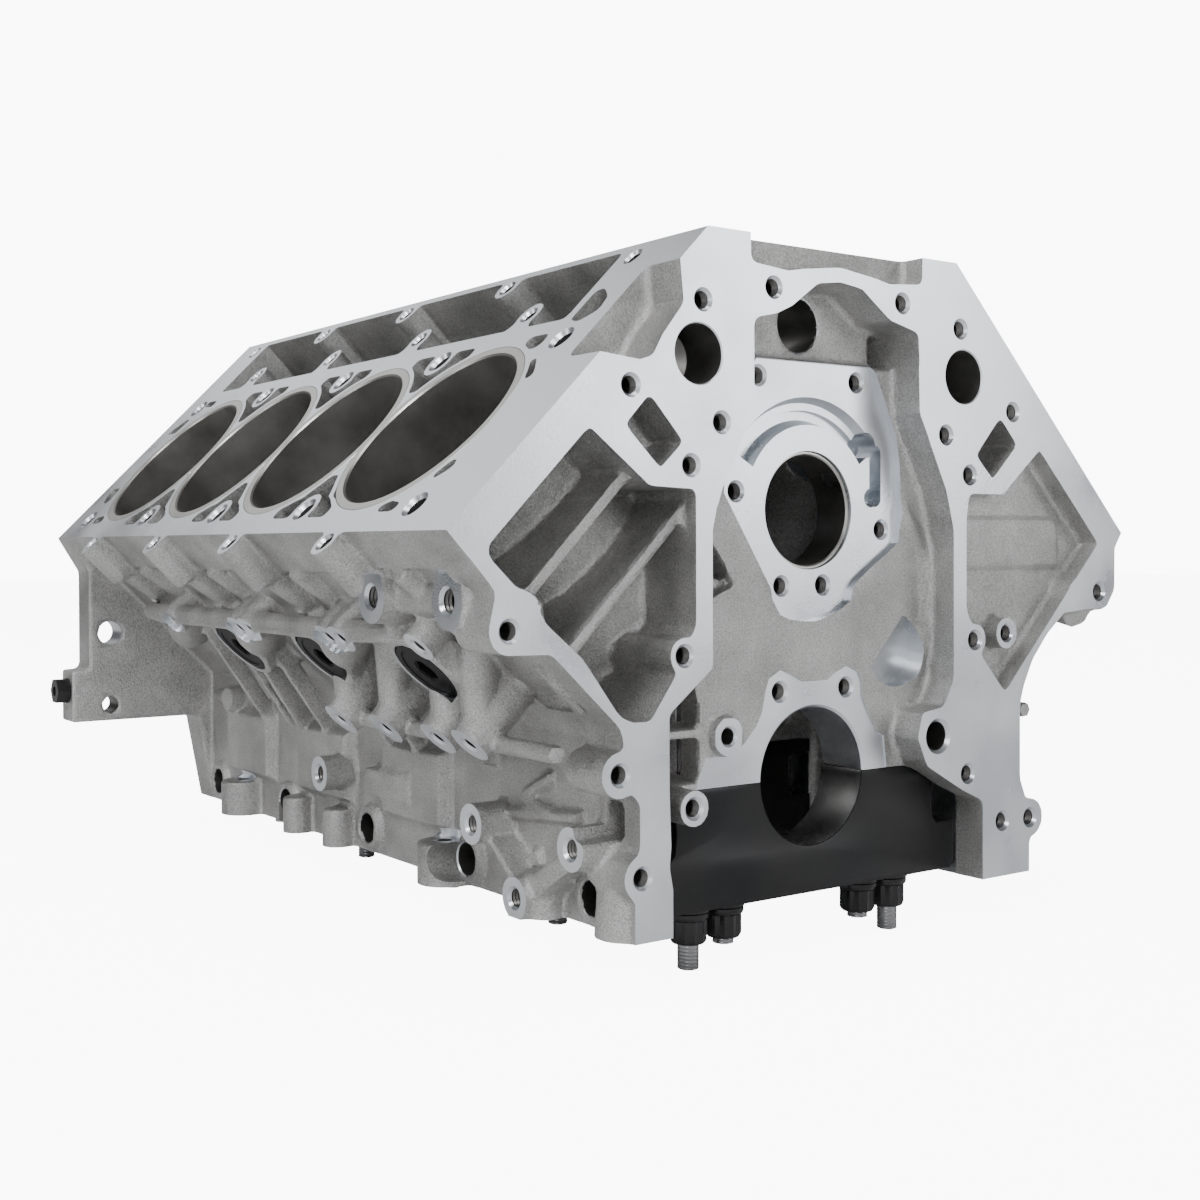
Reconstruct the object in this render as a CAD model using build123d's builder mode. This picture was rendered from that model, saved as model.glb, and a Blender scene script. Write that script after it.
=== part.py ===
"""V8 cylinder block: an aluminium casting with pressed liners, steel main caps on studs,
cam bearings, core plugs and dowels. Millimetres, origin on the crankshaft axis at the middle
of the centre main bearing, +X to the right seen from the front, +Y to the rear, +Z up."""
from build123d import *
import os
from math import sqrt

os.makedirs("parts", exist_ok=True)

# Layout of the engine
cylinders_per_bank = 4
bore_pitch = 111.76
bank_stagger = 24.13
deck_height = 247.65
cam_height = 134.67
front_overhang = 34.87
rear_overhang = 40.09
top_height = 265.0
pan_rail_height = -62.5

# Liners and their bores
bore_radius = 52.4
liner_radius = 58.0
liner_length = 140.0
liner_clearance = 0.05
liner_step = 3.0
liner_step_depth = 50.0

# Main bearings, caps and studs
main_bore_radius = 34.93
web_length = 30.0
cap_height = 59.0
cap_half_width = 106.5
cap_edge_chamfer = 3.0
cap_notch_top = -8.0
cap_notch_bottom = -33.0
cap_notch_depth = 18.0
stud_radius = 5.4
stud_clearance = 0.1
stud_depth = 45.0
stud_tip_gap = 4.0
outer_stud_x = 69.5
inner_stud_x = 47.0
outer_stud_drop = 90.0
inner_stud_drop = 80.5
washer_radius = 11.0
washer_thickness = 2.5
nut_radius = 9.2
nut_height = 15.5

# Cam bearings
cam_housing_radius = 30.0
cam_bearing_radius = 28.0
cam_bearing_length = 22.0
cam_tunnel_radius = 36.0

# Crankcase and skirts
bay_radius = 90.0
bay_half_width = 110.0
bay_shoulder_height = 12.0
skirt_half_width = 124.0
bank_wall_offset = 68.0
deck_edge_offset = 72.6
deck_lip_thickness = 25.0
cross_bolt_height = -48.0
cross_bolt_radius = 8.5
cross_bolt_thread_radius = 5.0
cross_bolt_thread_depth = 20.0

# Deck
head_bolt_offset = 55.88
head_bolt_radius = 5.5
head_bolt_depth = 60.0
jacket_depth = 70.0
jacket_inner = 31.0
jacket_outer = 62.0
jacket_half_length = 30.0
jacket_bore_margin = 3.0
head_bolt_boss_radius = 11.0
lower_bolt_offset = 79.0
extra_bolt_radius = 4.0
extra_bolt_depth = 25.0
lower_bolt_boss_radius = 8.5
lower_bolt_boss_length = 30.0
upper_bolt_offset = 83.0
upper_bolt_boss_radius = 9.0
top_bolt_offset = 116.0
top_bolt_boss_radius = 9.5
window_bottom = 72.0
window_top = 122.0
window_end_margin = 42.8
window_floor = 195.0
window_lip = 32.0
window_slope = 20.0
end_pocket_depth = 40.0
lifter_radius = 10.7
lifter_spread = 44.0

# Valley between the banks
valley_floor = 190.0
valley_floor_half_width = 32.7
valley_half_width = 50.0
valley_wall_height = 207.2
valley_rim_half_width = 59.0
valley_rim_depth = 14.0
valley_front_wall = 40.0
valley_rear_wall = 22.0

# Front face
front_plate_depth = 30.0
front_recess_depth = 18.5
cam_plate_depth = 21.9
front_bolt_radius = 4.3
front_bolt_depth = 22.0
front_boss_radius = 10.5
cover_boss_radius = 8.5
water_port_radius = 14.0
water_port_x = 91.0
water_port_height = 205.5
water_port_depth = 24.0
right_pocket_depth = 64.0
left_pocket_depth = 12.0
barrel_radius = 64.0
pocket_rib_thickness = 6.0
pocket_rib_heights = [194.5, 160.0]
pocket_rib_recess = 9.0
arch_depth = 14.0
arch_recess_depth = 24.0
arch_cavity_depth = 37.5
breather_radius = 13.5
breather_centre = (-5.0, 228.0)
oil_port_radius = 7.5
oil_port_boss_radius = 14.0
oil_port_centre = (71.0, 17.0)
notch_depth = 25.0
web_boss_radius = 10.0
web_boss_centre = (-61.0, 25.0)
web_boss_height = 5.0
web_boss_hole_radius = 4.0
cavity_depth = 45.0
cavity_fin_recess = 24.0
lens_pocket_depth = 26.0
groove_inner_radius = 46.0
groove_outer_radius = 54.5
groove_depth = 29.0
groove_slot_depth = 34.0
leg_window_from = 13.0
leg_window_to = 25.0
gusset_slot_from = 18.0
gusset_slot_to = 25.0

# Rear face
flange_thickness = 22.0
flange_half_width = 224.5
flange_bottom = -2.5
flange_step_height = 33.0
flange_step_half_width = 213.0
flange_shoulder_height = 100.0
flange_foot_width = 12.0
seal_opening_radius = 52.0
bell_hole_radius = 5.5
bell_holes = [(198.0, 8.5), (205.0, 118.0), (150.0, 178.0), (110.0, 222.0)]
bell_window_radius = 8.0
bell_window = (198.0, 58.0)
bell_dowel_radius = 6.5
bell_dowel_length = 26.0
bell_dowel_seat = 14.0
bell_dowel = (184.0, 146.0)
end_plug_radius = 7.0
end_plug_hex_radius = 9.0
end_plug_hex_length = 9.0
end_plug_seat = 14.0
end_plug_height = 19.0
gallery_plug_radius = 7.0
gallery_plug_length = 12.0
gallery_plug_places = [(-62.0, 150.0), (62.0, 150.0), (0.0, 88.0)]
rear_pocket_depth = 14.0
rear_bolt_radius = 3.3
rear_bolt_depth = 18.0

# Plugs and side bosses
plug_radius = 19.0
plug_thickness = 7.0
plug_face_offset = 86.0
plug_height = 165.0
plug_boss_radius = 24.0
plug_socket_width = 12.0
plug_socket_depth = 4.0
mount_boss_radius = 11.0
upper_mount_radius = 9.0
mount_hole_radius = 4.0
mount_hole_depth = 18.0
upper_mount_offset = 88.0
upper_mount_height = 187.0
lower_mount_offset = 105.0
lower_mount_height = 138.0
arm_foot_offset = 55.0
side_bar_radius = 5.5
side_bar_x = 192.0
side_bar_height = 75.0
bracket_boss_radius = 13.0
bracket_boss_x = 207.0
bracket_boss_height = 93.0
bracket_foot_x = 168.0
bracket_bar_x = 192.0
bracket_bar_radius = 8.0
bracket_hole_radius = 5.0
arm_bar_x = 160.5
arm_bar_height = 24.0
arm_bar_radius = 4.5
arm_bar_length = 190.0
skirt_boss_radius = 10.5
skirt_boss_x = 145.0
skirt_column_x = 131.0
skirt_rib_x = 141.0
cross_bolt_rim_x = 129.0
cross_bolt_rim_radius = 13.0
skirt_column_top = -40.0
panel_thickness = 7.0
panel_bottom = -38.0
panel_top = 8.0
panel_margin = 10.0
gusset_thickness = 5.0
gusset_foot = 131.0
gusset_top = 170.0
gusset_drop = 14.0
gusset_rise = 8.0
dowel_boss_x = 136.0
dowel_boss_height = 13.0
dowel_boss_radius = 9.0
dowel_fin_length = 46.0
dowel_fin_tip = 1.5

# Values worked out from the layout
COS45 = sqrt(0.5)
LEFT = 1
RIGHT = -1
front_y = -(cylinders_per_bank / 2) * bore_pitch - front_overhang
rear_y = (cylinders_per_bank / 2) * bore_pitch + rear_overhang
main_count = cylinders_per_bank + 1
main_stations = [(i - cylinders_per_bank / 2) * bore_pitch for i in range(main_count)]
liner_bottom = deck_height - liner_length
deck_corner_x = deck_height / COS45 - top_height
bay_length = bore_pitch - web_length


def bore_stations(side):
    """Cylinder centres along the block on one bank. The left bank stands forward."""
    middle = (cylinders_per_bank - 1) / 2
    return [(i - middle) * bore_pitch - side * bank_stagger / 2 for i in range(cylinders_per_bank)]


def head_bolt_stations(side):
    """Rows of head bolts, halfway between the cylinders and past the end ones."""
    first = bore_stations(side)[0] - bore_pitch / 2
    return [first + i * bore_pitch for i in range(cylinders_per_bank + 1)]


def bank_point(side, height, across):
    """Front view point of a bank, from its height along the bores and its place up the deck."""
    return (side * COS45 * (height - across), COS45 * (height + across))


def mirrored(points):
    """Front view points of the other side."""
    return [(-x, z) for x, z in points]


def front_plane(y):
    """Plane across the block: local x is X and local y is Z."""
    return Plane.XZ.offset(-y)


def deck_plane(side, height=deck_height):
    """Plane parallel to a deck: local x runs up the deck and local y along the block."""
    return Plane(
        origin=(side * COS45 * height, 0, COS45 * height),
        x_dir=(-side * COS45, 0, COS45),
        z_dir=(side * COS45, 0, COS45),
    )


def on_deck(side, across, y):
    """Point on a deck plane."""
    return (across, -side * y)


def wall_plane(side, offset):
    """Plane parallel to the outer wall of a bank, facing out: local x runs down the bore."""
    return Plane(
        origin=(side * COS45 * offset, 0, -COS45 * offset),
        x_dir=(-side * COS45, 0, -COS45),
        z_dir=(side * COS45, 0, -COS45),
    )


def on_wall(side, height, y):
    """Point on the outer wall plane of a bank."""
    return (-height, side * y)


def side_plane(side, x):
    """Plane along the skirt, facing out: local x runs along the block, local y is Z."""
    return Plane(origin=(side * x, 0, 0), x_dir=(0, side, 0), z_dir=(side, 0, 0))


def on_side(side, y, z):
    """Point on the skirt plane."""
    return (side * y, z)


def prism(points, y_from, y_to, mode=Mode.ADD):
    """Front view outline, carried along the block between two stations."""
    with BuildSketch(front_plane(y_from)) as outline:
        with BuildLine():
            Polyline(*points, close=True)
        make_face()
    extrude(outline.sketch, amount=y_from - y_to, mode=mode)


def bars(plane, points, radius, amount, mode=Mode.ADD):
    """Round bosses or holes on one plane."""
    with BuildSketch(plane) as rounds:
        with Locations(*points):
            Circle(radius)
    extrude(rounds.sketch, amount=amount, mode=mode)


def strut(plane, start, end, width, amount):
    """Straight bar of even width between two points of a plane."""
    run = sqrt((end[0] - start[0]) ** 2 + (end[1] - start[1]) ** 2)
    lift = ((start[1] - end[1]) * width / 2 / run, (end[0] - start[0]) * width / 2 / run)
    edge = [(x + way * lift[0], y + way * lift[1]) for (x, y), way in (
        (start, 1), (end, 1), (end, -1), (start, -1),
    )]
    with BuildSketch(plane) as outline:
        with BuildLine():
            Polyline(*edge, close=True)
        make_face()
    extrude(outline.sketch, amount=amount)


def bank_outline(side):
    """Outer edge of one side, from the pan rail to the valley floor."""
    knee_height = skirt_half_width / COS45 - bank_wall_offset
    lip_bottom = deck_height - deck_lip_thickness
    return [
        (side * skirt_half_width, pan_rail_height),
        bank_point(side, knee_height, -bank_wall_offset),
        bank_point(side, lip_bottom, -bank_wall_offset),
        bank_point(side, lip_bottom, -deck_edge_offset),
        bank_point(side, deck_height, -deck_edge_offset),
        (side * deck_corner_x, top_height),
        (side * valley_rim_half_width, top_height),
        (side * valley_rim_half_width, top_height - valley_rim_depth),
        (side * valley_half_width, top_height - valley_rim_depth),
        (side * valley_half_width, valley_wall_height),
        (side * valley_floor_half_width, valley_floor),
    ]


# Front view outline of the block between its end walls
block_outline = bank_outline(LEFT) + list(reversed(bank_outline(RIGHT)))
valley_outline = bank_outline(LEFT)[6:] + list(reversed(bank_outline(RIGHT)[6:]))

# Front face of the right bank, with its leg down to the pan rail
right_face = [
    (0, top_height),
    (-deck_corner_x, top_height),
    bank_point(RIGHT, deck_height, -deck_edge_offset),
    (-211, 107.5),
    (-202.5, 97.5),
    (-205, 84),
    (-203, 74),
    (-196, 70.5),
    (-174, 70),
    (-137.5, 36),
    (-136, 32.5),
    (-130, 5),
    (-126, 1),
    (-126, -17.5),
    (-129, -45),
    (-129, pan_rail_height),
    (0, pan_rail_height),
]

# Front face of the left bank, with its wider leg
left_face = [
    (0, top_height),
    (deck_corner_x, top_height),
    bank_point(LEFT, deck_height, -deck_edge_offset),
    (220.5, 115),
    (220.5, 91),
    (213, 81),
    (200, 80.5),
    (175, 79),
    (160, 67.5),
    (147.5, 54),
    (140, 40),
    (136.7, 30),
    (136.7, -11),
    (141, -21),
    (144.5, -45),
    (144.5, pan_rail_height),
    (0, pan_rail_height),
]

# Inner edge of the timing recess, from the right leg over the top to the left leg
timing_recess = [
    (-107, pan_rail_height),
    (-107, -40),
    (-109, -30),
    (-108, -21),
    (-109, 5),
    (-109, 40),
    (-83, 60),
    (-83, 125),
    (-77.5, 142.5),
    (-67.5, 161),
    (-57, 185),
    (-57, 225),
    (-42.5, 228),
    (-32.5, 232.5),
    (-15, 245),
    (0, 246.8),
    (15, 245),
    (35, 231),
    (56, 226),
    (57, 185),
    (66, 167.5),
    (77.5, 145),
    (83, 125),
    (83, 46),
    (75, 32),
    (59, 30),
    (55.5, 17),
    (62.5, 2),
    (90, -13),
    (106, -20),
    (106, pan_rail_height),
]

# Deep ribbed pocket in the right bank and shallow one in the left bank
right_pocket = [
    (-153.7, 169.5),
    (-120, 144),
    (-93, 143),
    (-93, 80),
    (-104, 59),
    (-120, 37.5),
    (-130, 37.5),
    (-137.5, 41),
    (-157.5, 67.5),
    (-179, 85),
    (-187.5, 95),
    (-206, 112.5),
    (-206, 117.5),
]
left_pocket = [
    (153, 169),
    (205, 117.5),
    (124, 37),
    (105, 57.5),
    (93, 82.5),
    (93, 130),
    (95, 144),
    (122.5, 144),
]
rhombus_port = [(120, 185.5), (134, 171), (114, 152), (100.5, 164.5)]

notch_outline = [
    (-100, 275),
    (-100, 228),
    (-105, 222),
    (-113, 212),
    (-118, 203),
    (-125, 200.5),
    (-165, 200.5),
    (-165, 275),
]
arch_outline = [
    (-valley_rim_half_width, top_height),
    (-valley_rim_half_width, 251),
    (-45, 250),
    (-35, 249),
    (-25, 251),
    (0, 254),
    (25, 251),
    (35, 249),
    (45, 250),
    (valley_rim_half_width, 251),
    (valley_rim_half_width, top_height),
]
arch_recess = [
    (-44, 209),
    (-57, 209),
    (-57, 225),
    (-42.5, 228),
    (-32.5, 232.5),
    (-15, 245),
    (15, 245),
    (35, 231),
    (56, 226),
    (57, 209),
]

arch_cavity = [(30, 210), (30, 231), (35, 230), (55, 225), (56, 210)]
side_cavity = [(-81, 138), (-53, 98), (-81, 86)]
cavity_fin = [(-84, 112), (-84, 108), (-58, 96), (-56, 99)]
foot_cavity = [(-106, 4), (-106, 39), (-80, 56), (-76, 40), (-76, 4)]
foot_rib = [(-110, 25), (-110, 30), (-60, 30), (-60, 25)]
lens_pocket = [(46, 45), (57, 46), (70, 56), (78, 68), (80, 81), (68, 77), (55, 67), (48, 57)]
groove_wedge = [(0, 134.67), (-60, 168), (-60, 215), (60, 215), (55, 172)]
groove_slot = [(43, 137), (51, 137), (51, 169), (43, 169)]
leg_window = [(-145, -18), (-112, -18), (-112, 0), (-145, 0)]
gusset_slot = [(-168, 62), (-143, 39), (-132, 49), (-157, 73)]
rear_pockets = [
    [(72, 52), (100, 34), (142, 76), (104, 112)],
    [(78, 126), (104, 126), (132, 150), (96, 186)],
]
rear_bolts = [(68, 24), (74, -22), (36, 66), (44, 118), (48, 160)]

# Bolt holes of the front cover: shared by both banks, and those of one bank alone
shared_front_bolts = [
    (88.4, 230.6),
    (77.2, 174.4),
    (130.6, 188.9),
    (95.7, 153.9),
    (44.3, 240.3),
    (99.8, 66.3),
    (94.2, -4.5),
]
right_front_bolts = mirrored(shared_front_bolts) + [(-195.5, 80.8), (-137, 14.5), (-124.5, -33)]
left_front_bolts = shared_front_bolts + [(206, 90), (145, -33), (122, -32.5), (126, 69)]
cover_bosses = [(-44.3, 240.3), (44.3, 240.3), (-94.2, -4.5), (94.2, -4.5)]
middle_bosses = [(-99.8, 66.3), (99.8, 66.3), (126, 69)]
rail_bosses = [(-195.5, 80.8), (-137, 14.5), (-124.5, -33), (206, 90), (145, -33)]

# Cam plate pad and its bolts
cam_plate_outline = [
    (-58, 143),
    (-29, 95),
    (-17, 80),
    (17, 80),
    (30, 93),
    (63, 125),
    (64, 172),
    (44, 209),
    (-44, 209),
    (-58, 180),
]
cam_plate_bolts = [(-49, 143), (53, 125), (-19, 97), (10, 97), (-33, 201), (34, 201)]
main_face_bolts = [(-23, 44), (23, 44)]

# Where the side bosses stand: the cylinder or main bearing they belong to, and how far past it
upper_mounts = [(0, -23), (1, -56), (1, -42), (2, -53), (2, -39), (3, -48)]
lower_mounts = [(0, -31), (0, -2), (0, 51), (1, -10)]
skirt_bosses = [(0, -7, -22), (0, 40, -53), (1, -32, -23), (2, 28, -18)]
skirt_ribs = [(0, 1, 11.0), (1, 2, 5.0)]
skirt_columns = [(15.0, [(1, 17), (4, -52)]), (9.5, [(0, 35), (2, 31), (3, -25), (3, 6)])]
gussets = [(0, 20), (1, -18), (1, 14), (2, -18), (2, 14), (3, -40)]
dowel_boss_back = 35.0

# End pockets of a deck, as distance past the first or last bore and place up the deck
shared_end_pockets = [
    (0, [(-24, 50), (-24, 62), (-41, 62), (-41, 52)]),
    (0, [(-24, -52), (-24, -60), (-41, -60), (-41, -54)]),
    (-1, [(32, 55), (32, 62), (49, 62), (49, 57)]),
    (-1, [(52, 45), (58, 45), (70, 33), (70, 30), (55, 30)]),
    (-1, [(54, -25), (68, -25), (68, -31), (60, -40), (52, -40)]),
    (-1, [(25, -52), (25, -60), (42, -60), (42, -54)]),
]
right_end_pockets = [
    (0, [(-43, 43), (-49, 43), (-59, 31), (-59, 27), (-48, 27)]),
    (0, [(-47, -27), (-60, -27), (-60, -33), (-50, -41), (-45, -41)]),
    (0, [(-49, 70), (-58, 67), (-68, 74), (-66, 84), (-56, 92), (-49, 92)]),
]
end_pockets = {LEFT: shared_end_pockets, RIGHT: shared_end_pockets + right_end_pockets}

# Hollow of the right pocket, with the barrel of the first cylinder and its ribs left standing
with BuildPart() as pocket_core:
    prism(right_pocket, front_y, front_y + right_pocket_depth)
    bars(
        deck_plane(RIGHT), [on_deck(RIGHT, 0, bore_stations(RIGHT)[0])],
        barrel_radius, -deck_height, Mode.SUBTRACT,
    )
    for rib_height in pocket_rib_heights:
        rib = [
            bank_point(RIGHT, rib_height + way * pocket_rib_thickness / 2, across)
            for way, across in ((1, -80), (1, 60), (-1, 60), (-1, -80))
        ]
        prism(rib, front_y + pocket_rib_recess, front_y + right_pocket_depth, Mode.SUBTRACT)

# Hollows of the front face, with the bosses that stand in them
with BuildPart() as front_hollows:
    prism(timing_recess, front_y, front_y + front_recess_depth)
    prism(arch_outline, front_y, front_y + arch_depth)
    prism(notch_outline, front_y, front_y + notch_depth)
    prism(arch_recess, front_y, front_y + arch_recess_depth)
    prism(arch_cavity, front_y, front_y + arch_cavity_depth)
    prism(left_pocket, front_y, front_y + left_pocket_depth)
    add(pocket_core.part)
    for cavity in (side_cavity, foot_cavity):
        prism(cavity, front_y, front_y + cavity_depth)
    prism(cavity_fin, front_y + cavity_fin_recess, front_y + cavity_depth, Mode.SUBTRACT)
    prism(foot_rib, front_y + front_recess_depth, front_y + cavity_depth, Mode.SUBTRACT)
    bars(
        front_plane(front_y), cover_bosses + middle_bosses, cover_boss_radius,
        -right_pocket_depth, Mode.SUBTRACT,
    )
    bars(
        front_plane(front_y), [oil_port_centre], oil_port_boss_radius,
        -front_plate_depth, Mode.SUBTRACT,
    )
    bars(
        front_plane(front_y + front_recess_depth - web_boss_height), [web_boss_centre],
        web_boss_radius, -cavity_depth, Mode.SUBTRACT,
    )
    prism(cam_plate_outline, front_y, front_y + cam_plate_depth)
    prism(lens_pocket, front_y, front_y + lens_pocket_depth)
    with BuildSketch(front_plane(front_y)):
        with Locations((0, cam_height)):
            Circle(groove_outer_radius)
            Circle(groove_inner_radius, mode=Mode.SUBTRACT)
        with BuildLine():
            Polyline(*groove_wedge, close=True)
        make_face(mode=Mode.INTERSECT)
    extrude(amount=-groove_depth)
    prism(groove_slot, front_y, front_y + groove_slot_depth)
    for side, port in ((LEFT, rhombus_port), (RIGHT, mirrored(rhombus_port))):
        prism(port, front_y, front_y + water_port_depth)
    prism(leg_window, front_y + leg_window_from, front_y + leg_window_to)
    prism(gusset_slot, front_y + gusset_slot_from, front_y + gusset_slot_to)

# Bosses, arms, columns, panels and ribs of each side wall
side_features = {}
for side in (LEFT, RIGHT):
    bores = bore_stations(side)
    with BuildPart() as features:
        # Bolt columns under the deck, core plug bosses and mounting bosses of the bank wall
        bars(
            deck_plane(side), [on_deck(side, -lower_bolt_offset, y) for y in bores],
            lower_bolt_boss_radius, -lower_bolt_boss_length,
        )
        bars(
            wall_plane(side, arm_foot_offset), [on_wall(side, plug_height, y) for y in bores[:3]],
            plug_boss_radius, plug_face_offset - arm_foot_offset,
        )
        bars(
            wall_plane(side, arm_foot_offset),
            [on_wall(side, upper_mount_height, bores[i] + past) for i, past in upper_mounts],
            upper_mount_radius, upper_mount_offset - arm_foot_offset,
        )
        bars(
            wall_plane(side, arm_foot_offset),
            [on_wall(side, lower_mount_height, bores[i] + past) for i, past in lower_mounts],
            mount_boss_radius, lower_mount_offset - arm_foot_offset,
        )
        bars(
            front_plane(bores[0]), [(side * side_bar_x, side_bar_height)],
            side_bar_radius, bores[0] - bores[-1],
        )
        bars(
            front_plane(front_y + front_plate_depth / 2), [(side * arm_bar_x, arm_bar_height)],
            arm_bar_radius, -arm_bar_length,
        )
        bars(
            side_plane(side, bracket_boss_x),
            [on_side(side, y, bracket_boss_height) for y in (main_stations[0] - 2, bores[0])],
            bracket_boss_radius, -(bracket_boss_x - bracket_foot_x),
        )
        bars(
            front_plane(main_stations[0]), [(side * bracket_bar_x, bracket_boss_height)],
            bracket_bar_radius, main_stations[0] - bores[0],
        )

        # Bosses, columns, panels and gussets of the skirt
        skirt_places = [on_side(side, main_stations[i] + past, z) for i, past, z in skirt_bosses]
        bars(
            side_plane(side, skirt_boss_x), skirt_places, skirt_boss_radius,
            -(skirt_boss_x - cap_half_width - 5),
        )
        for first, second, width in skirt_ribs:
            strut(
                side_plane(side, skirt_rib_x), skirt_places[first], skirt_places[second], width,
                -(skirt_rib_x - cap_half_width - 5),
            )
        for column_radius, stations in skirt_columns:
            with BuildSketch(Plane.XY.offset(pan_rail_height)):
                with Locations(
                    *[(side * skirt_column_x, main_stations[i] + past) for i, past in stations]
                ):
                    Circle(column_radius)
            extrude(amount=skirt_column_top - pan_rail_height)
        bars(
            side_plane(side, cross_bolt_rim_x), [on_side(side, y, cross_bolt_height) for y in main_stations],
            cross_bolt_rim_radius, -(cross_bolt_rim_x - cap_half_width - 5),
        )
        for station in main_stations[1:-1]:
            with BuildSketch(side_plane(side, skirt_half_width)):
                with Locations(
                    on_side(side, station + bore_pitch / 2, (panel_bottom + panel_top) / 2)
                ):
                    Rectangle(bay_length - panel_margin, panel_top - panel_bottom)
            extrude(amount=panel_thickness, taper=30)
        for i, past in gussets:
            gusset = [
                (side * (skirt_half_width - 5), panel_top - 4),
                (side * gusset_foot, panel_top - 4),
                (side * gusset_top, gusset_top - bank_wall_offset / COS45 - gusset_drop),
                (side * gusset_top, gusset_top - bank_wall_offset / COS45 + gusset_rise),
            ]
            middle = bores[i] + past
            prism(gusset, middle - gusset_thickness / 2, middle + gusset_thickness / 2)
        # Boss of the bell housing dowel, with its fin running out to the rear flange
        dowel_station = main_stations[-1] - dowel_boss_back
        bars(
            side_plane(side, dowel_boss_x), [on_side(side, dowel_station, dowel_boss_height)],
            dowel_boss_radius, -(dowel_boss_x - cap_half_width - 5),
        )
        with BuildSketch(front_plane(dowel_station)) as fin_root:
            with Locations((side * (dowel_boss_x - dowel_boss_radius), dowel_boss_height)):
                Circle(dowel_boss_radius)
        with BuildSketch(front_plane(dowel_station + dowel_fin_length)) as fin_tip:
            with Locations((side * (dowel_boss_x - dowel_boss_radius), dowel_boss_height)):
                Circle(dowel_fin_tip)
        loft([fin_root.sketch.face(), fin_tip.sketch.face()])
    side_features[side] = features.part

# Crankcase bays, cap seats, crankshaft and cam bores, and the valley
with BuildPart() as middle_hollows:
    for station in main_stations[:-1]:
        bay_from = station + web_length / 2
        with BuildSketch(front_plane(bay_from)):
            Circle(bay_radius)
            with Locations((0, (pan_rail_height + bay_shoulder_height) / 2)):
                Rectangle(2 * bay_half_width, bay_shoulder_height - pan_rail_height)
        extrude(amount=-bay_length)
        bars(front_plane(bay_from), [(0, cam_height)], cam_tunnel_radius, -bay_length)
    with BuildSketch(front_plane(front_y + front_recess_depth)):
        with Locations((0, pan_rail_height / 2)):
            Rectangle(2 * cap_half_width, -pan_rail_height)
    extrude(amount=front_y + front_recess_depth - rear_y)
    bars(front_plane(front_y), [(0, 0)], main_bore_radius, front_y - rear_y)
    bars(
        front_plane(rear_y), [(0, 0)], seal_opening_radius, rear_overhang - web_length / 2,
    )
    bars(front_plane(front_y), [(0, cam_height)], cam_housing_radius, front_y - rear_y)
    prism(valley_outline, front_y + valley_front_wall, rear_y - valley_rear_wall)
    for pocket in rear_pockets:
        for outline in (pocket, mirrored(pocket)):
            prism(outline, rear_y - rear_pocket_depth, rear_y)

# Bores, water jackets and lifter windows of each bank
bank_hollows = {}
for side in (LEFT, RIGHT):
    bores = bore_stations(side)
    centres = [on_deck(side, 0, y) for y in bores]
    with BuildPart() as hollows:
        # Water jacket openings between the bores and at both ends of the deck
        with BuildSketch(deck_plane(side)):
            for first, second in zip(bores, bores[1:]):
                for way in (1, -1):
                    with Locations(
                        on_deck(side, way * (jacket_inner + jacket_outer) / 2, (first + second) / 2)
                    ):
                        Rectangle(jacket_outer - jacket_inner, 2 * jacket_half_length)
            with Locations(*centres):
                Circle(liner_radius + jacket_bore_margin, mode=Mode.SUBTRACT)
            with Locations(*[
                on_deck(side, way * head_bolt_offset, y)
                for y in head_bolt_stations(side)
                for way in (1, -1)
            ]):
                Circle(head_bolt_boss_radius, mode=Mode.SUBTRACT)
        extrude(amount=-jacket_depth)
        with BuildSketch(deck_plane(side)):
            for i, outline in end_pockets[side]:
                with BuildLine():
                    Polyline(*[on_deck(side, v, bores[i] + past) for past, v in outline], close=True)
                make_face()
            with Locations(*centres):
                Circle(liner_radius + jacket_bore_margin, mode=Mode.SUBTRACT)
        extrude(amount=-end_pocket_depth)

        # Lifter windows beside the valley, with bolt bosses left in their walls
        window = [
            bank_point(side, deck_height, window_bottom),
            bank_point(side, deck_height, window_top),
            bank_point(side, deck_height - window_lip, window_top),
            bank_point(side, window_floor, window_top - window_slope),
            bank_point(side, window_floor, window_bottom),
        ]
        prism(window, bores[0] - window_end_margin, bores[-1] + window_end_margin)
        for across in (upper_bolt_offset, window_bottom):
            bars(
                deck_plane(side), [on_deck(side, across, y) for y in bores],
                upper_bolt_boss_radius, -deck_height, Mode.SUBTRACT,
            )
        bars(
            deck_plane(side),
            [on_deck(side, top_bolt_offset + 1, y) for y in head_bolt_stations(side)[1:-1]],
            top_bolt_boss_radius, -deck_height, Mode.SUBTRACT,
        )

        # Cylinder bores with their liner seats, then lifter bores down to the cam
        bars(deck_plane(side), centres, liner_radius + liner_clearance, -liner_length)
        bars(
            deck_plane(side, liner_bottom), centres, liner_radius - liner_step,
            -(liner_bottom - liner_step_depth),
        )
        lifters = [
            on_deck(side, COS45 * cam_height, y + way * lifter_spread / 2)
            for y in bores
            for way in (1, -1)
        ]
        bars(
            deck_plane(side, window_floor), lifters, lifter_radius,
            -(window_floor - COS45 * cam_height - cam_housing_radius),
        )
    bank_hollows[side] = hollows.part

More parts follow.
